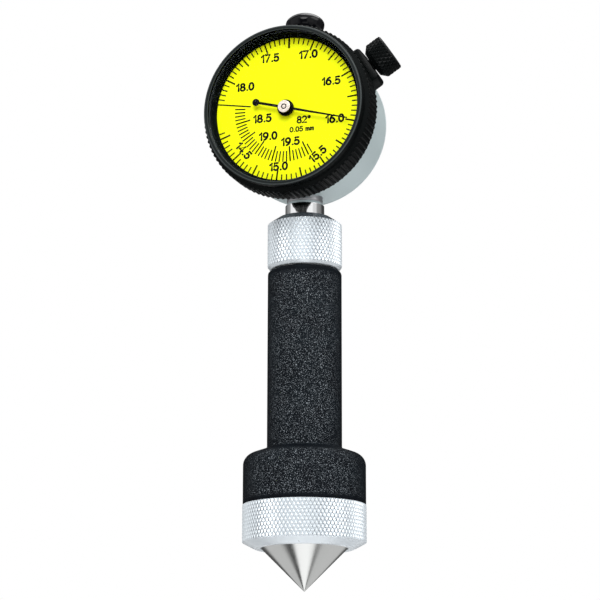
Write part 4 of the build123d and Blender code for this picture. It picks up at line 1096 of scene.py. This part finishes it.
def cleaned(mesh):
    """Joins corners that a cut left almost on top of each other, and drops the slivers between them."""
    shape = bmesh.new()
    shape.from_mesh(mesh)
    bmesh.ops.remove_doubles(shape, verts=shape.verts, dist=sliver * MM)
    bmesh.ops.triangulate(shape, faces=[face for face in shape.faces if len(face.verts) > 4])
    bmesh.ops.dissolve_degenerate(shape, edges=shape.edges, dist=sliver * MM)
    shape.to_mesh(mesh)
    shape.free()
    return mesh


def knurled(outline, look, count, crest, low, high):
    """A turned blank with a knurl cut in it, along its own upright axis."""
    mesh = grown(
        turned(outline),
        knurl_tree,
        look,
        Around=count,
        Radius=crest * MM,
        Pitch=knurl_pitch * MM,
        Depth=knurl_depth * MM,
        Flat=knurl_flat,
        Low=low * MM,
        High=high * MM,
    )
    return smooth(cleaned(mesh), 20)


ring_blank = rounded(
    [
        (ring_bore, ring_low.z),
        (ring_face, ring_low.z),
        (ring_high.x + blank_allowance, ring_chamfer_height, 0.2),
        (ring_high.x + blank_allowance, ring_high.z, 0.2),
        (spigot_radius + spigot_gap, ring_high.z),
        (spigot_radius + spigot_gap, ring_lip_height),
        (ring_bore, ring_lip_height),
    ]
)
ring_mesh = knurled(ring_blank, "knurled_aluminium", ring_knurl_count, ring_high.x, ring_low.z, ring_high.z)
piece("nose_ring_knurled", ring_mesh, "knurled_aluminium", "nose_ring", "nose_ring")

# %% [markdown]
# The clamp nut is made the same way. Its foot has a small chamfer, its top a longer cone, and its bore
# closes to a cone inside, which squeezes the collet.

# %% Knurl the clamp nut
nut_bore = 7.13
nut_mouth = 5.66
nut_cone_base = 75.6
nut_cone_top = nut_cone_base + 2 * (nut_bore - nut_mouth)
nut_chamfer = 0.75
nut_chamfer_height = 0.95
nut_knurl_height = 1.25
nut_top_cone = 1.85
nut_top_land = 0.74
nut_foot_inset = 0.02
nut_blank = rounded(
    [
        (nut_bore, nut_low.z),
        (nut_high.x - nut_chamfer, nut_low.z, 0.3),
        (nut_high.x - nut_foot_inset, nut_low.z + nut_chamfer_height, 0.5),
        (nut_high.x + blank_allowance, nut_low.z + nut_knurl_height),
        (nut_high.x + blank_allowance, nut_high.z - nut_top_cone, 0.2),
        (nut_mouth + nut_top_land, nut_high.z, 0.15),
        (nut_mouth, nut_high.z),
        (nut_mouth, nut_cone_top),
        (nut_bore, nut_cone_base),
    ]
)
nut_mesh = knurled(nut_blank, "knurled_aluminium_nut", nut_knurl_count, nut_high.x, nut_low.z, nut_high.z)
piece("clamp_nut_knurled", nut_mesh, "knurled_aluminium", "clamp_nut", "clamp_nut")

# %% [markdown]
# The cone and the stem are plain turnings. The cone has a sharp but not a needle tip, a narrow land that
# runs in the ring's bore, and a groove in its shank for the clip that stops it. The stem is a tube,
# because the spindle runs through it.

# %% Turn the cone and the stem
shank_radius = 4.0
tip_radius = 0.12
tip_flat = 0.7  # of the tip's radius
tip_height = 0.05
land_height = 4.0
clip_low, clip_high = extent("plunger_clip")
clip_groove_radius = 3.4
cone_rim = cone_low.z + cone_high.x - tip_radius
head_top = cone_rim + land_height
cone_outline = rounded(
    [
        (0, cone_low.z),
        (tip_radius * tip_flat, cone_low.z, 0),
        (tip_radius, cone_low.z + tip_height, 0),
        (cone_high.x, cone_rim, 0.05),
        (cone_high.x, head_top),
        (shank_radius, head_top, 0.3),
        (shank_radius, clip_low.z),
        (clip_groove_radius, clip_low.z),
        (clip_groove_radius, clip_high.z),
        (shank_radius, clip_high.z),
        (shank_radius, cone_high.z, 0.5),
        (0, cone_high.z),
    ]
)
piece("cone_plunger", turned(cone_outline), "ground_steel", "plunger", "plunger")

stem_radius = 9.525 / 2
stem_shoulder = case_low.z
stem_chamfer_height = 0.75
stem_thread_radius = 3.9
neck_seat_radius = 4.3  # the small end of the stem's chamfer
stem_bore = 3.4
stem_outline = rounded(
    [
        (stem_bore, stem_low.z),
        (stem_radius, stem_low.z, 0.4),
        (stem_radius, stem_shoulder - stem_chamfer_height, 0.15),
        (neck_seat_radius, stem_shoulder),
        (stem_thread_radius, stem_shoulder),
        (stem_thread_radius, stem_high.z),
        (stem_bore, stem_high.z),
    ]
)
piece("stem", turned(stem_outline), "polished_steel", "head", "indicator_stem")

# %% [markdown]
# The case is a turned cup that lies on its side, with an inner ledge for the movement and a groove
# outside for the bezel's snap ring. Two small bosses stand in its wall, one for the stem and one under
# the cap. They are a piece of their own, because their metal is plainer than the case's satin.

# %% Outline the case and turn its bosses
case_radius = 19.24
case_wall = 1.4
ledge_inside = 15.0
case_rear = -back_low.y
ledge_thickness = 1.4
ledge_front = case_rear + ledge_thickness
case_front = -case_low.y
snap_low, snap_high = extent("bezel_snap_ring")
snap_front, snap_rear = -snap_low.y, -snap_high.y
snap_groove_radius = 18.92
snap_groove_gap = 0.05
case_outline = rounded(
    [
        (case_radius - case_wall, ledge_front),
        (ledge_inside, ledge_front),
        (ledge_inside, case_rear),
        (case_radius, case_rear, 0.06),
        (case_radius, snap_rear - snap_groove_gap, 0),
        (snap_groove_radius, snap_rear - snap_groove_gap, 0),
        (snap_groove_radius, snap_front + snap_groove_gap, 0),
        (case_radius, snap_front + snap_groove_gap, 0),
        (case_radius, case_front),
        (case_radius - case_wall, case_front),
    ]
)
boss_radius = 4.4
top_boss_bore = 3.2
top_boss_height = 4.3
top_boss_base = cap_low.z - top_boss_height
boss_gap = 0.01
thread_gap = 0.02
stem_boss_bore = stem_thread_radius + thread_gap
stem_boss_outline = rounded(
    [
        (stem_boss_bore, stem_shoulder + boss_gap),
        (boss_radius, stem_shoulder + boss_gap, 0.25),
        (boss_radius, stem_high.z),
        (stem_boss_bore, stem_high.z),
    ]
)
top_boss_outline = rounded(
    [
        (top_boss_bore, top_boss_base),
        (boss_radius, top_boss_base),
        (boss_radius, cap_low.z - boss_gap, 0.2),
        (top_boss_bore, cap_low.z - boss_gap),
    ]
)


def joined(*meshes):
    """Several meshes as one."""
    shape = bmesh.new()
    for mesh in meshes:
        shape.from_mesh(mesh)
    return meshed(shape, "joined")


bosses = smooth(joined(turned(stem_boss_outline), turned(top_boss_outline)))
piece("case_bosses", bosses, "case_satin", "head", look="spring_steel")

# %% [markdown]
# The real case is drilled: for the stem and the cap, for the four screws of its back and the four of the
# movement, and at a slant for the clamp's screw. The holes hardly show, but what runs through them does
# when a pose opens the gauge to view, and two metals can't lie in the same place. A boolean with plain
# rods cuts them just as a drill does.

# %% Drill the case
clamp_lean = math.radians(32.5)
clamp_depth = -4.9
knob_screw_end = 18.3
knob_screw_radius = 1.5
knob_screw_gap = 0.03
knob_turn = Matrix.Rotation(math.radians(90) - clamp_lean, 4, "Y")
knob_place = Matrix.Translation((0, clamp_depth, head_height)) @ knob_turn
hole_gap = 0.02
drill_reach = 1.0  # beyond the wall that it opens
screw_circle = 16.42
movement_screw_depth = 1.2
screw_kinds = (  # the turn of the first of four, their radius, and where their holes begin
    (55, 0.8, case_rear - drill_reach),
    (25, 0.6, ledge_front - movement_screw_depth - hole_gap),
)


def opened(mesh, *cutters):
    """A closed mesh with holes where the cutters pass through it."""
    blank = bpy.data.objects.new("blank", mesh)
    drill = bpy.data.objects.new("drill", joined(*cutters))
    scene.collection.objects.link(blank)
    scene.collection.objects.link(drill)
    holes = blank.modifiers.new("holes", "BOOLEAN")
    holes.operation = "DIFFERENCE"
    holes.solver = "EXACT"
    holes.object = drill
    plain = as_plain_mesh(blank)
    bpy.data.objects.remove(drill)
    return smooth(cleaned(plain))


def rod(radius, low, high, place=upright):
    """A plain cylinder, to cut a hole with."""
    return turned([(0, low), (radius, low), (radius, high), (0, high)], place, 64)


screw_low = knob_screw_end - knob_screw_gap
holes = [
    rod(boss_radius + hole_gap, stem_shoulder - drill_reach, stem_high.z + hole_gap),
    rod(boss_radius + hole_gap, top_boss_base - hole_gap, cap_low.z + drill_reach),
    rod(knob_screw_radius + knob_screw_gap, screw_low, case_radius + drill_reach, knob_place),
]
for lean, radius, low in screw_kinds:
    for turn in (lean, 180 - lean, 180 + lean, -lean):
        round_dial = Matrix.Rotation(math.radians(turn), 4, "Z")
        place = facing @ round_dial @ Matrix.Translation((screw_circle, 0, 0))
        holes.append(rod(radius + hole_gap, low, ledge_front + drill_reach, place))
piece("case", opened(turned(case_outline, facing), *holes), "case_satin", "head", "indicator_case")

# %% [markdown]
# Some solids only need their faces joined and a softer edge. The case's back keeps its countersinks that
# way, and the clamp block its bore.

# %% Soften the back, its screws and the clamp block
weld = 1e-6  # in metres
flat_angle = math.radians(1)  # faces that meet at less are one flat face
edge_angle = math.radians(30)  # edges that are sharper get a bevel


def kept(node, bevel=0.0, crease=32):
    """A copy of a solid's mesh with its faces joined, and its edges cut to a small bevel, in millimetres."""
    shape = bmesh.new()
    shape.from_mesh(bpy.data.objects[node].data)
    bmesh.ops.remove_doubles(shape, verts=shape.verts, dist=weld)
    if bevel:
        bmesh.ops.dissolve_limit(shape, angle_limit=flat_angle, verts=shape.verts, edges=shape.edges)
        edges = [e for e in shape.edges if e.is_manifold and e.calc_face_angle() > edge_angle]
        bmesh.ops.bevel(shape, geom=edges, offset=bevel * MM, segments=2, affect="EDGES", profile=0.5)
    return smooth(meshed(shape, node), crease)


piece("back", kept("case_back"), "case_satin", "head", "case_back")
screws = kept("case_back_screws")
piece("back_screws", screws, "polished_steel", "head", "case_back_screws", look="spring_steel")
piece("clamp_block", kept("bezel_clamp", bevel=0.15), "black_anodised", "head", "bezel_clamp")

# %% [markdown]
# The cap over the spindle's top is one gloss black turning. Its crown is close to half an ellipse, and
# the arc under it is given by how far it rises above a straight line, which is easy to read off a side
# view.

# %% Turn the cap
cap_seat = cap_low.z
cap_radius = cap_high.x
neck_radius = 3.7
neck_height = 4.0
neck_rise = 0.298
skirt_height = 6.5
crown_height = cap_high.z - cap_seat
crown_steps = 28
crown_power = 1.08  # 1 gives a plain ellipse, and more flattens its flanks
hollow_radius = 2.7
hollow_base, hollow_top = 2.4, 7.4


def bowed(start, stop, rise, steps=10):
    """Points of an arc from start to stop, with the ends left out. A positive rise bows to the right."""
    start, stop = Vector(start), Vector(stop)
    chord = stop - start
    aside = Vector((chord.y, -chord.x)).normalized()
    radius = (chord.length**2 / 4 + rise**2) / (2 * rise)
    half = math.asin(chord.length / 2 / radius)
    centre = (start + stop) / 2 + aside * (rise - radius)
    arm = start - centre
    turns = [2 * half * k / steps for k in range(1, steps)]
    return [(*(centre + Matrix.Rotation(turn, 2) @ arm), 0) for turn in turns]


def crown_point(turn):
    """A corner of the crown, from 0 at its skirt to a right angle at its top."""
    across, up = math.cos(turn) ** crown_power, math.sin(turn) ** crown_power
    return cap_radius * across, skirt_height + (crown_height - skirt_height) * up, 0


cap_outline = [
    (neck_radius, 0),
    (neck_radius, neck_height),
    *bowed((neck_radius, neck_height), (cap_radius, skirt_height), neck_rise),
    (cap_radius, skirt_height, 0),
    *(crown_point(math.radians(90) * k / crown_steps) for k in range(1, crown_steps)),
    (0, crown_height),
    (0, hollow_top),
    (hollow_radius, hollow_top),
    (hollow_radius, hollow_base),
    (top_boss_bore, hollow_base),
    (top_boss_bore, 0),
]
cap_mesh = turned(rounded(cap_outline), Matrix.Translation((0, 0, cap_seat)))
piece("cap", cap_mesh, "cap_black", "head", "spindle_cap")

# %% [markdown]
# The bezel's rim is milled with short teeth. One tooth is drawn, and a small tree sets copies of it round
# the rim. The same tree serves the dial's graduations later: it takes any shape that is drawn at angle
# zero, and repeats it by a first angle and a step.

# %% Geometry Nodes tree: ring of copies
copies_tree, given, end = sizes_tree("Ring of copies", {"Count": 10, "First": 0.0, "Step": 0.1})
circle = add(copies_tree, "GeometryNodePoints", {"Count": given["Count"]})
number = add(copies_tree, "GeometryNodeInputIndex").outputs[0]
turn = reckon(copies_tree, "MULTIPLY_ADD", number, given["Step"], given["First"])
copies = add(
    copies_tree,
    "GeometryNodeInstanceOnPoints",
    {
        "Points": circle.outputs[0],
        "Instance": given["Geometry"],
        "Rotation": add(copies_tree, "ShaderNodeCombineXYZ", {"Z": turn}).outputs[0],
    },
)
end_tree(copies_tree, copies.outputs[0], given["Material"], end)
print("ring of copies:", len(copies_tree.nodes), "nodes")

# %% [markdown]
# A tooth of the rim is round on top and tapered at both ends, where the cutter ran in and out. A shape
# like that is a loft: the same outline in several sections, higher in the middle ones, with faces drawn
# between them. The helpers for it come back for everything that isn't turned.

# %% Draw one tooth of the rim
bezel_radius = bezel_high.x
tooth_height = 0.30
coin_root = bezel_radius - tooth_height
coin_low, coin_high = 8.2, 14.4
tooth_count = 100
tooth_share = 0.62  # of the way from one tooth to the next
tooth_width = tooth_share * math.tau * coin_root / tooth_count
tooth_tops = [  # how far aside and how far up, from the left foot over the top to the right foot
    (-0.5, -0.35),
    (-0.5, 0.0),
    (-0.34, 0.8),
    (-0.12, 1.0),
    (0.12, 1.0),
    (0.34, 0.8),
    (0.5, 0.0),
    (0.5, -0.35),
]
tooth_taper = ((coin_low, 0.25), (coin_low + 0.3, 1.0), (coin_high - 0.2, 1.0), (coin_high, 0.35))


def solid(points, faces):
    """A mesh in metres from corners in millimetres, with its faces turned outwards."""
    shape = bmesh.new()
    corners = [shape.verts.new(Vector(p) * MM) for p in points]
    for face in faces:
        shape.faces.new([corners[i] for i in face])
    bmesh.ops.recalc_face_normals(shape, faces=shape.faces)
    return meshed(shape, "solid")


def lofted(sections):
    """A closed solid through sections with the same number of points each."""
    count = len(sections[0])
    points = [point for section in sections for point in section]
    faces = [list(range(count)), list(range(len(points) - count, len(points)))]
    for k in range(len(sections) - 1):
        for i in range(count):
            j = (i + 1) % count
            faces.append([k * count + i, k * count + j, (k + 1) * count + j, (k + 1) * count + i])
    return solid(points, faces)


def placed(mesh, place):
    """Moves a mesh by a place that is given in millimetres."""
    mesh.transform(Matrix.Scale(MM, 4) @ place @ Matrix.Scale(1 / MM, 4))
    return mesh


tooth = lofted(
    [
        [(coin_root + top * share * tooth_height, side * tooth_width, height) for side, top in tooth_tops]
        for height, share in tooth_taper
    ]
)
tooth_step = math.tau / tooth_count
teeth = grown(tooth, copies_tree, "black_anodised", Count=tooth_count, First=0.0, Step=tooth_step)
print("teeth round the bezel:", tooth_count)

# %% [markdown]
# The bezel itself is a turned ring. Its lip holds the crystal, its inside the dial plate, and a groove
# behind them the snap ring on which it turns. The crystal is a plain disc with softened edges.

# %% Turn the bezel and lay in the crystal
window_radius = 17.95
crystal_radius = crystal_high.x
seat_gap = 0.01
crystal_side_gap = 0.03
crystal_shelf = 18.7
window_depth = 0.54
dial_seat_radius = 18.38
dial_ring_depth = 0.71
bezel_bore = 19.3
bezel_groove = 19.63
rear_chamfer = 0.16
rim_gap = 0.2
lip_step = 0.5
bezel_front, bezel_rear = -bezel_low.y, -bezel_high.y
crystal_front, crystal_rear = -crystal_low.y, -crystal_high.y
dial_face, dial_rear = -dial_low.y, -dial_high.y
bezel_outline = rounded(
    [
        (bezel_bore, bezel_rear),
        (coin_root - rear_chamfer, bezel_rear),
        (coin_root, coin_low - rim_gap),
        (coin_root, coin_high, 0.06),
        (lip_radius, coin_high + lip_step, 0.06),
        (lip_radius, bezel_front, 0.5),
        (lip_inner, bezel_front, 0.12),
        (lip_inner, crystal_front + seat_gap),
        (crystal_radius + crystal_side_gap, crystal_front + seat_gap),
        (crystal_radius + crystal_side_gap, crystal_rear - seat_gap),
        (crystal_shelf, crystal_rear - seat_gap),
        (window_radius, dial_face + window_depth),
        (window_radius, dial_face + seat_gap),
        (dial_seat_radius, dial_face + seat_gap),
        (dial_seat_radius, dial_rear - dial_ring_depth),
        (bezel_bore, dial_rear - dial_ring_depth),
        (bezel_bore, snap_front + seat_gap, 0),
        (bezel_groove, snap_front + seat_gap, 0),
        (bezel_groove, snap_rear - seat_gap, 0),
        (bezel_bore, snap_rear - seat_gap, 0),
    ]
)
bezel_mesh = joined(turned(bezel_outline, facing), placed(teeth, facing))
piece("bezel_milled", smooth(bezel_mesh, 28), "black_anodised", "bezel", "bezel")

crystal_outline = rounded(
    [(0, crystal_rear), (crystal_radius, crystal_rear), (crystal_radius, crystal_front), (0, crystal_front)]
)
piece("crystal_pane", turned(crystal_outline, facing), "crystal_clear", "bezel", "crystal")

# %% [markdown]
# The dial reads diameters in millimetres. One turn of the pointer is 4.35 mm of diameter, so the scale
# runs more than once round: an outer ring of ticks from 14.20 to 18.20 mm, and an inner one that carries
# on to 19.80 mm. Both are rings of copies of one tick. A printed picture on the dial would be simpler,
# but it would blur up close. The angle of any reading comes from one line of arithmetic.

# %% Print the graduations
degrees_per_reading = 20.69 / 0.25  # degrees the pointer turns for a millimetre of diameter
top_reading = 17.25
top_lean = -1.98
ink_low, ink_high = dial_face - 0.01, dial_face + 0.03
small_step = 0.05
large_step = 0.25
outer_edge = window_radius
inner_edge = 13.3
long_tick = 15.4  # where the long ticks of the outer ring begin


def reading_angle(reading):
    """The angle of a reading in radians, from the dial's right, counterclockwise for its reader."""
    return math.radians(90 + (reading - top_reading) * degrees_per_reading + top_lean)


def tick(inner, outer, width):
    """One printed line at angle zero, in millimetres."""
    flat = [(inner, -width / 2), (outer, -width / 2), (outer, width / 2), (inner, width / 2)]
    return lofted([[(x, y, height) for x, y in flat] for height in (ink_low, ink_high)])


def graduation(first, last, step, inner, outer, width):
    """A ring of ticks from one reading to another."""
    count = round((last - first) / step) + 1
    return grown(
        tick(inner, outer, width),
        copies_tree,
        "pointer_black",
        Count=count,
        First=reading_angle(first),
        Step=math.radians(step * degrees_per_reading),
    )


rings = [
    graduation(14.20, 18.20, small_step, 16.45, outer_edge, 0.29),
    graduation(14.25, 18.00, large_step, long_tick, outer_edge, 0.38),
    graduation(17.25, 17.25, large_step, long_tick, outer_edge, 0.50),
    graduation(18.25, 18.25, large_step, 9.35, outer_edge, 0.33),
    graduation(18.30, 19.80, small_step, 10.65, inner_edge, 0.31),
    graduation(18.50, 19.75, large_step, 9.5, inner_edge, 0.34),
]
graduations = placed(joined(*rings), facing)
graduations.materials.append(finishes["pointer_black"])
piece("dial_graduations", graduations, "pointer_black", "bezel")

# %% [markdown]
# The numerals are strokes: each glyph is a few short lines on a small grid. A second tree gives the lines
# a round section, puts a ball at each corner, and flattens the whole, so that it lies on the dial like a
# thin coat of ink with rounded ends. Pure geometry keeps the print sharp at any distance.

# %% Geometry Nodes tree: ink strokes
ink_tree, given, end = sizes_tree("Ink strokes", {"Width": 0.0003, "Thickness": 0.1})
ink_radius = reckon(ink_tree, "MULTIPLY", given["Width"], 0.5)
lines = add(ink_tree, "GeometryNodeMeshToCurve", {"Mesh": given["Geometry"]})
section = add(ink_tree, "GeometryNodeCurvePrimitiveCircle", {"Resolution": 8, "Radius": ink_radius})
pens = add(
    ink_tree,
    "GeometryNodeCurveToMesh",
    {"Curve": lines.outputs[0], "Profile Curve": section.outputs[0], "Fill Caps": True},
)
ball = add(ink_tree, "GeometryNodeMeshUVSphere", {"Segments": 8, "Rings": 4, "Radius": ink_radius})
dots = add(ink_tree, "GeometryNodeMeshToPoints", {"Mesh": given["Geometry"]})
balls = add(
    ink_tree,
    "GeometryNodeInstanceOnPoints",
    {"Points": dots.outputs[0], "Instance": ball.outputs["Mesh"]},
)
whole = add(ink_tree, "GeometryNodeJoinGeometry")
ink_tree.links.new(pens.outputs[0], whole.inputs[0])
ink_tree.links.new(balls.outputs[0], whole.inputs[0])
real = add(ink_tree, "GeometryNodeRealizeInstances", {"Geometry": whole.outputs[0]})
flatness = add(ink_tree, "ShaderNodeCombineXYZ", {"X": 1.0, "Y": 1.0, "Z": given["Thickness"]}).outputs[0]
flattened = add(ink_tree, "GeometryNodeTransform", {"Geometry": real.outputs[0], "Scale": flatness})
end_tree(ink_tree, flattened.outputs[0], given["Material"], end)
print("ink strokes:", len(ink_tree.nodes), "nodes")

# %% [markdown]
# Blender's own Text object could write the numerals, but its letters come from a font, and the dial's are
# printed in strokes of one even width. The glyphs here are drawn in a box one unit high, and a curve in
# one is a part of an ellipse.

# %% Draw the glyphs


def curve(centre, across, up, start, stop, steps=8):
    """Points of a part of an ellipse, from one angle to another in degrees."""
    turns = [math.radians(start + (stop - start) * k / steps) for k in range(steps + 1)]
    return [(centre[0] + across * math.cos(t), centre[1] + up * math.sin(t)) for t in turns]


glyphs = {
    "0": [curve((0.31, 0.5), 0.31, 0.5, 0, 360, 20)],
    "1": [[(0.10, 0.76), (0.36, 1.0), (0.36, 0.0)]],
    "2": [[*curve((0.31, 0.70), 0.31, 0.30, 165, -25), (0.0, 0.0), (0.62, 0.0)]],
    "4": [[(0.46, 0.0), (0.46, 1.0), (0.0, 0.28), (0.64, 0.28)]],
    "5": [[(0.56, 1.0), (0.10, 1.0), (0.05, 0.52), *curve((0.29, 0.32), 0.33, 0.32, 120, -145, 10)]],
    "6": [curve((0.31, 0.31), 0.31, 0.31, 0, 360, 16), curve((0.56, 0.31), 0.56, 0.69, 180, 95, 6)],
    "7": [[(0.0, 1.0), (0.62, 1.0), (0.18, 0.0)]],
    "8": [curve((0.31, 0.76), 0.25, 0.24, 0, 360, 14), curve((0.31, 0.26), 0.31, 0.26, 0, 360, 16)],
    "9": [curve((0.31, 0.69), 0.31, 0.31, 0, 360, 16), curve((0.06, 0.69), 0.56, 0.69, 0, -85, 6)],
    ".": [[(0.12, 0.03), (0.13, 0.03)]],
    "°": [curve((0.20, 0.84), 0.15, 0.16, 0, 360, 12)],
    "m": [
        [(0.0, 0.0), (0.0, 0.62)],
        [*curve((0.17, 0.40), 0.17, 0.2, 180, 0, 6), (0.34, 0.0)],
        [*curve((0.51, 0.40), 0.17, 0.2, 180, 0, 6), (0.68, 0.0)],
    ],
}
usual_advance = 0.86  # from the start of one glyph to that of the next
advances = {".": 0.42, "1": 0.66, " ": 0.5, "m": 0.98, "°": 0.55}
last_gap = 0.24
print("glyphs:", " ".join(glyphs))

# %% [markdown]
# Eleven numerals stand round the dial, nine of them level and two turned. Their places were read off the
# photograph. The angle of the countersink and the step of the scale are written smaller, near the middle.

# %% Write the numerals
numeral_height = 1.75
ink_flatness = 0.2
numerals = {  # across and up from the dial's centre, and the turn in degrees
    "17.5": (-4.4, 13.4, 0),
    "17.0": (5.4, 13.3, 0),
    "16.5": (11.2, 5.9, 0),
    "16.0": (12.1, -3.7, 0),
    "15.5": (7.8, -12.2, 38),
    "15.0": (-2.1, -14.3, 0),
    "14.5": (-11.0, -9.4, -50),
    "18.0": (-10.8, 6.7, 0),
    "18.5": (-6.3, -1.8, 0),
    "19.0": (-4.8, -6.4, 0),
    "19.5": (0.9, -8.3, 0),
}


def written(text, centre, height, turn=0.0):
    """Lines of a text in the dial's plane, as point lists in millimetres, centred and turned in degrees."""
    strokes, across = [], 0.0
    for sign in text:
        strokes += [[(across + x, y) for x, y in stroke] for stroke in glyphs.get(sign, [])]
        across += advances.get(sign, usual_advance)
    middle = Vector((across - last_gap, 1.0)) / 2
    spin = Matrix.Rotation(math.radians(turn), 2)
    return [[Vector(centre) + spin @ ((Vector(p) - middle) * height) for p in stroke] for stroke in strokes]


def inked(strokes, width):
    """The flat ink of many lines."""
    shape = bmesh.new()
    for stroke in strokes:
        corners = [shape.verts.new((p.x * MM, p.y * MM, 0)) for p in stroke]
        for one, other in zip(corners, corners[1:]):
            shape.edges.new((one, other))
    lines = meshed(shape, "lines")
    flat = grown(lines, ink_tree, "pointer_black", Width=width * MM, Thickness=ink_flatness)
    return placed(flat, facing @ Matrix.Translation((0, 0, dial_face)))


strokes = []
for text, (x, y, turn) in numerals.items():
    strokes += written(text, (x, y), numeral_height, turn)
large = inked(strokes, 0.52)
angle_note = inked(written("82°", (4.3, -3.1), 1.55), 0.42)
step_note = inked(written("0.05 mm", (3.9, -5.4), 1.15), 0.33)
dial_print = smooth(joined(large, angle_note, step_note), 60)
piece("dial_numerals", dial_print, "pointer_black", "bezel")
piece("dial", kept("dial_plate"), "dial_yellow", "bezel", "dial_plate")

# %% [markdown]
# The pointer is a thin black needle with a round tail. Real ones are stamped from sheet, with a ring in
# the middle that is pressed on the hub's neck. So the needle is a flat loft with a hole, and the ring and
# the tail are turned.

# %% Set the needle
needle_front, needle_rear = -pointer_low.y, -pointer_high.y
needle_lean = math.radians(-15.07)
needle_tip, needle_tail = 16.2, -7.73
tail_radius = 0.9
tail_inset = 0.01
needle_half_widths = ((needle_tail, 0.31), (0.0, 0.33), (needle_tip, 0.13))
needle_bore, needle_ring_radius = 1.09, 1.5
ring_overlap = 0.05
needle_hole = needle_ring_radius - ring_overlap
needle_plan = [(x, -half) for x, half in needle_half_widths]
needle_plan += [(x, half) for x, half in reversed(needle_half_widths)]
needle_bar = lofted([[(x, y, height) for x, y in needle_plan] for height in (needle_rear, needle_front)])
needle_bar = opened(needle_bar, rod(needle_hole, needle_rear - drill_reach, needle_front + drill_reach))


def washer(inner, outer, low, high):
    """The outline of a disc, or of a ring if its inner radius isn't zero."""
    return [(inner, low), (outer, low), (outer, high), (inner, high)]


tail_outline = rounded(washer(0, tail_radius, needle_rear + tail_inset, needle_front - tail_inset), 0.03)
tail_disc = turned(tail_outline, Matrix.Translation((needle_tail, 0, 0)), 48)
needle_ring = turned(washer(needle_bore, needle_ring_radius, needle_rear, needle_front), steps=64)
needle_place = facing @ Matrix.Rotation(needle_lean, 4, "Z")
needle = smooth(placed(joined(needle_bar, needle_ring, tail_disc), needle_place), 30)
piece("needle", needle, "pointer_black", "pointer", "pointer")

# %% [markdown]
# The hub carries the needle. Its face is turned bright, with a fine dark ring round the middle. It is
# made as three pieces, because its brass body behind the needle takes a black finish, as painted shade.

# %% Turn the hub
hub_front, hub_rear = -hub_low.y, -hub_high.y
body_height = 0.8
neck_length = 0.16
face_thickness = 0.56
hub_step = hub_rear + body_height
hub_lip = hub_step + neck_length
hub_inside = hub_front - face_thickness
hub_radius = 1.55
neck_inside = 1.05
neck_wall = 0.025
arbor_radius = 0.6
mark_inner, mark_outer = 0.42, 0.68
mark_depth, mark_rise = 0.1, 0.02
hub_face = [
    (0, hub_inside),
    (neck_inside, hub_inside),
    (neck_inside, hub_step - 0.05),
    (neck_inside + neck_wall, hub_lip),
    (hub_radius, hub_lip),
    (hub_radius, hub_front, 0.12),
    (0, hub_front),
]
hub_mesh = turned(rounded(hub_face, usual=0.05), facing, 96)
piece("hub", hub_mesh, "hub_brass", "pointer", "pointer_hub")
hub_body = turned(rounded(washer(arbor_radius, hub_high.x, hub_rear, hub_step), usual=0.06), facing, 96)
# the brass body gets a black finish, as painted shade
piece("hub_body", hub_body, "hub_brass", "pointer", look="pointer_black")
mark_outline = washer(mark_inner, mark_outer, hub_front - mark_depth, hub_front + mark_rise)
hub_mark = turned(mark_outline, facing, 64)
piece("hub_mark", hub_mark, "pointer_black", "pointer")

# %% [markdown]
# The clamp's knob stands out at a slant. It is turned and knurled upright like the others, and only then
# laid along its own axis. Its finish needs the way back from the gauge's axes to the knob's own.

# %% Turn and knurl the clamp's knob
knob_base = 22.64
knob_end = 27.94
knob_radius = 4.66
knob_chamfer = 1.43
knob_end_chamfer = 0.32
knob_foot_inset = 0.04
knob_own = Matrix.Scale(MM, 4) @ knob_place.inverted() @ Matrix.Scale(1 / MM, 4)
knob_count = round(math.tau * knob_radius / knurl_width)
knurled_black("knurled_black", knob_count, knob_base + knob_chamfer, knob_own)

knob_blank = rounded(
    [
        (0, knob_screw_end),
        (knob_screw_radius, knob_screw_end),
        (knob_screw_radius, knob_base),
        (knob_radius - knob_chamfer - knob_foot_inset, knob_base),
        (knob_radius + blank_allowance, knob_base + knob_chamfer),
        (knob_radius + blank_allowance, knob_end - knob_end_chamfer),
        (knob_radius - knob_end_chamfer, knob_end),
        (0, knob_end),
    ]
)
knob_mesh = knurled(knob_blank, "knurled_black", knob_count, knob_radius, knob_screw_end, knob_end)
piece("knob", placed(knob_mesh, knob_place), "black_anodised", "clamp_knob", "clamp_knob")

# %% [markdown]
# A spring's far end stays where it is while the near one moves. Both coils therefore ride on the body
# that holds their upper end. Otherwise the upper one would come out through the cap.

# %% Put the springs on their bodies
for node, body, joint, travel in (  # the last is how far the spring is pressed together, in millimetres
    ("plunger_spring", "handle", "plunger_slide", 3.3),
    ("spindle_spring", "head", "spindle_slide", 3.4),
):
    low, high = extent(node)
    coil = piece(f"{node}_coil", kept(node), "spring_steel", body, node)
    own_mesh(coil)

# %% [markdown]
# Everything that no new piece stands for keeps its own solid: the movement behind the dial, the spindle,
# the collet, the bushings, and the clips and rings that hold other pieces. Each takes the finish of the
# slot that the record gives it.

# %% Finish the remaining solids
slots = {part["node"]: part["material_slot"] for part in frame["record"]["subparts"]}
plain_solids = [name for name in slots if not bpy.data.objects[name].hide_render]
for name in plain_solids:
    mesh = bpy.data.objects[name].data
    mesh.materials.clear()
    mesh.materials.append(finishes[slots[name]])
print("solids with a finish of their own:", ", ".join(sorted(plain_solids)))
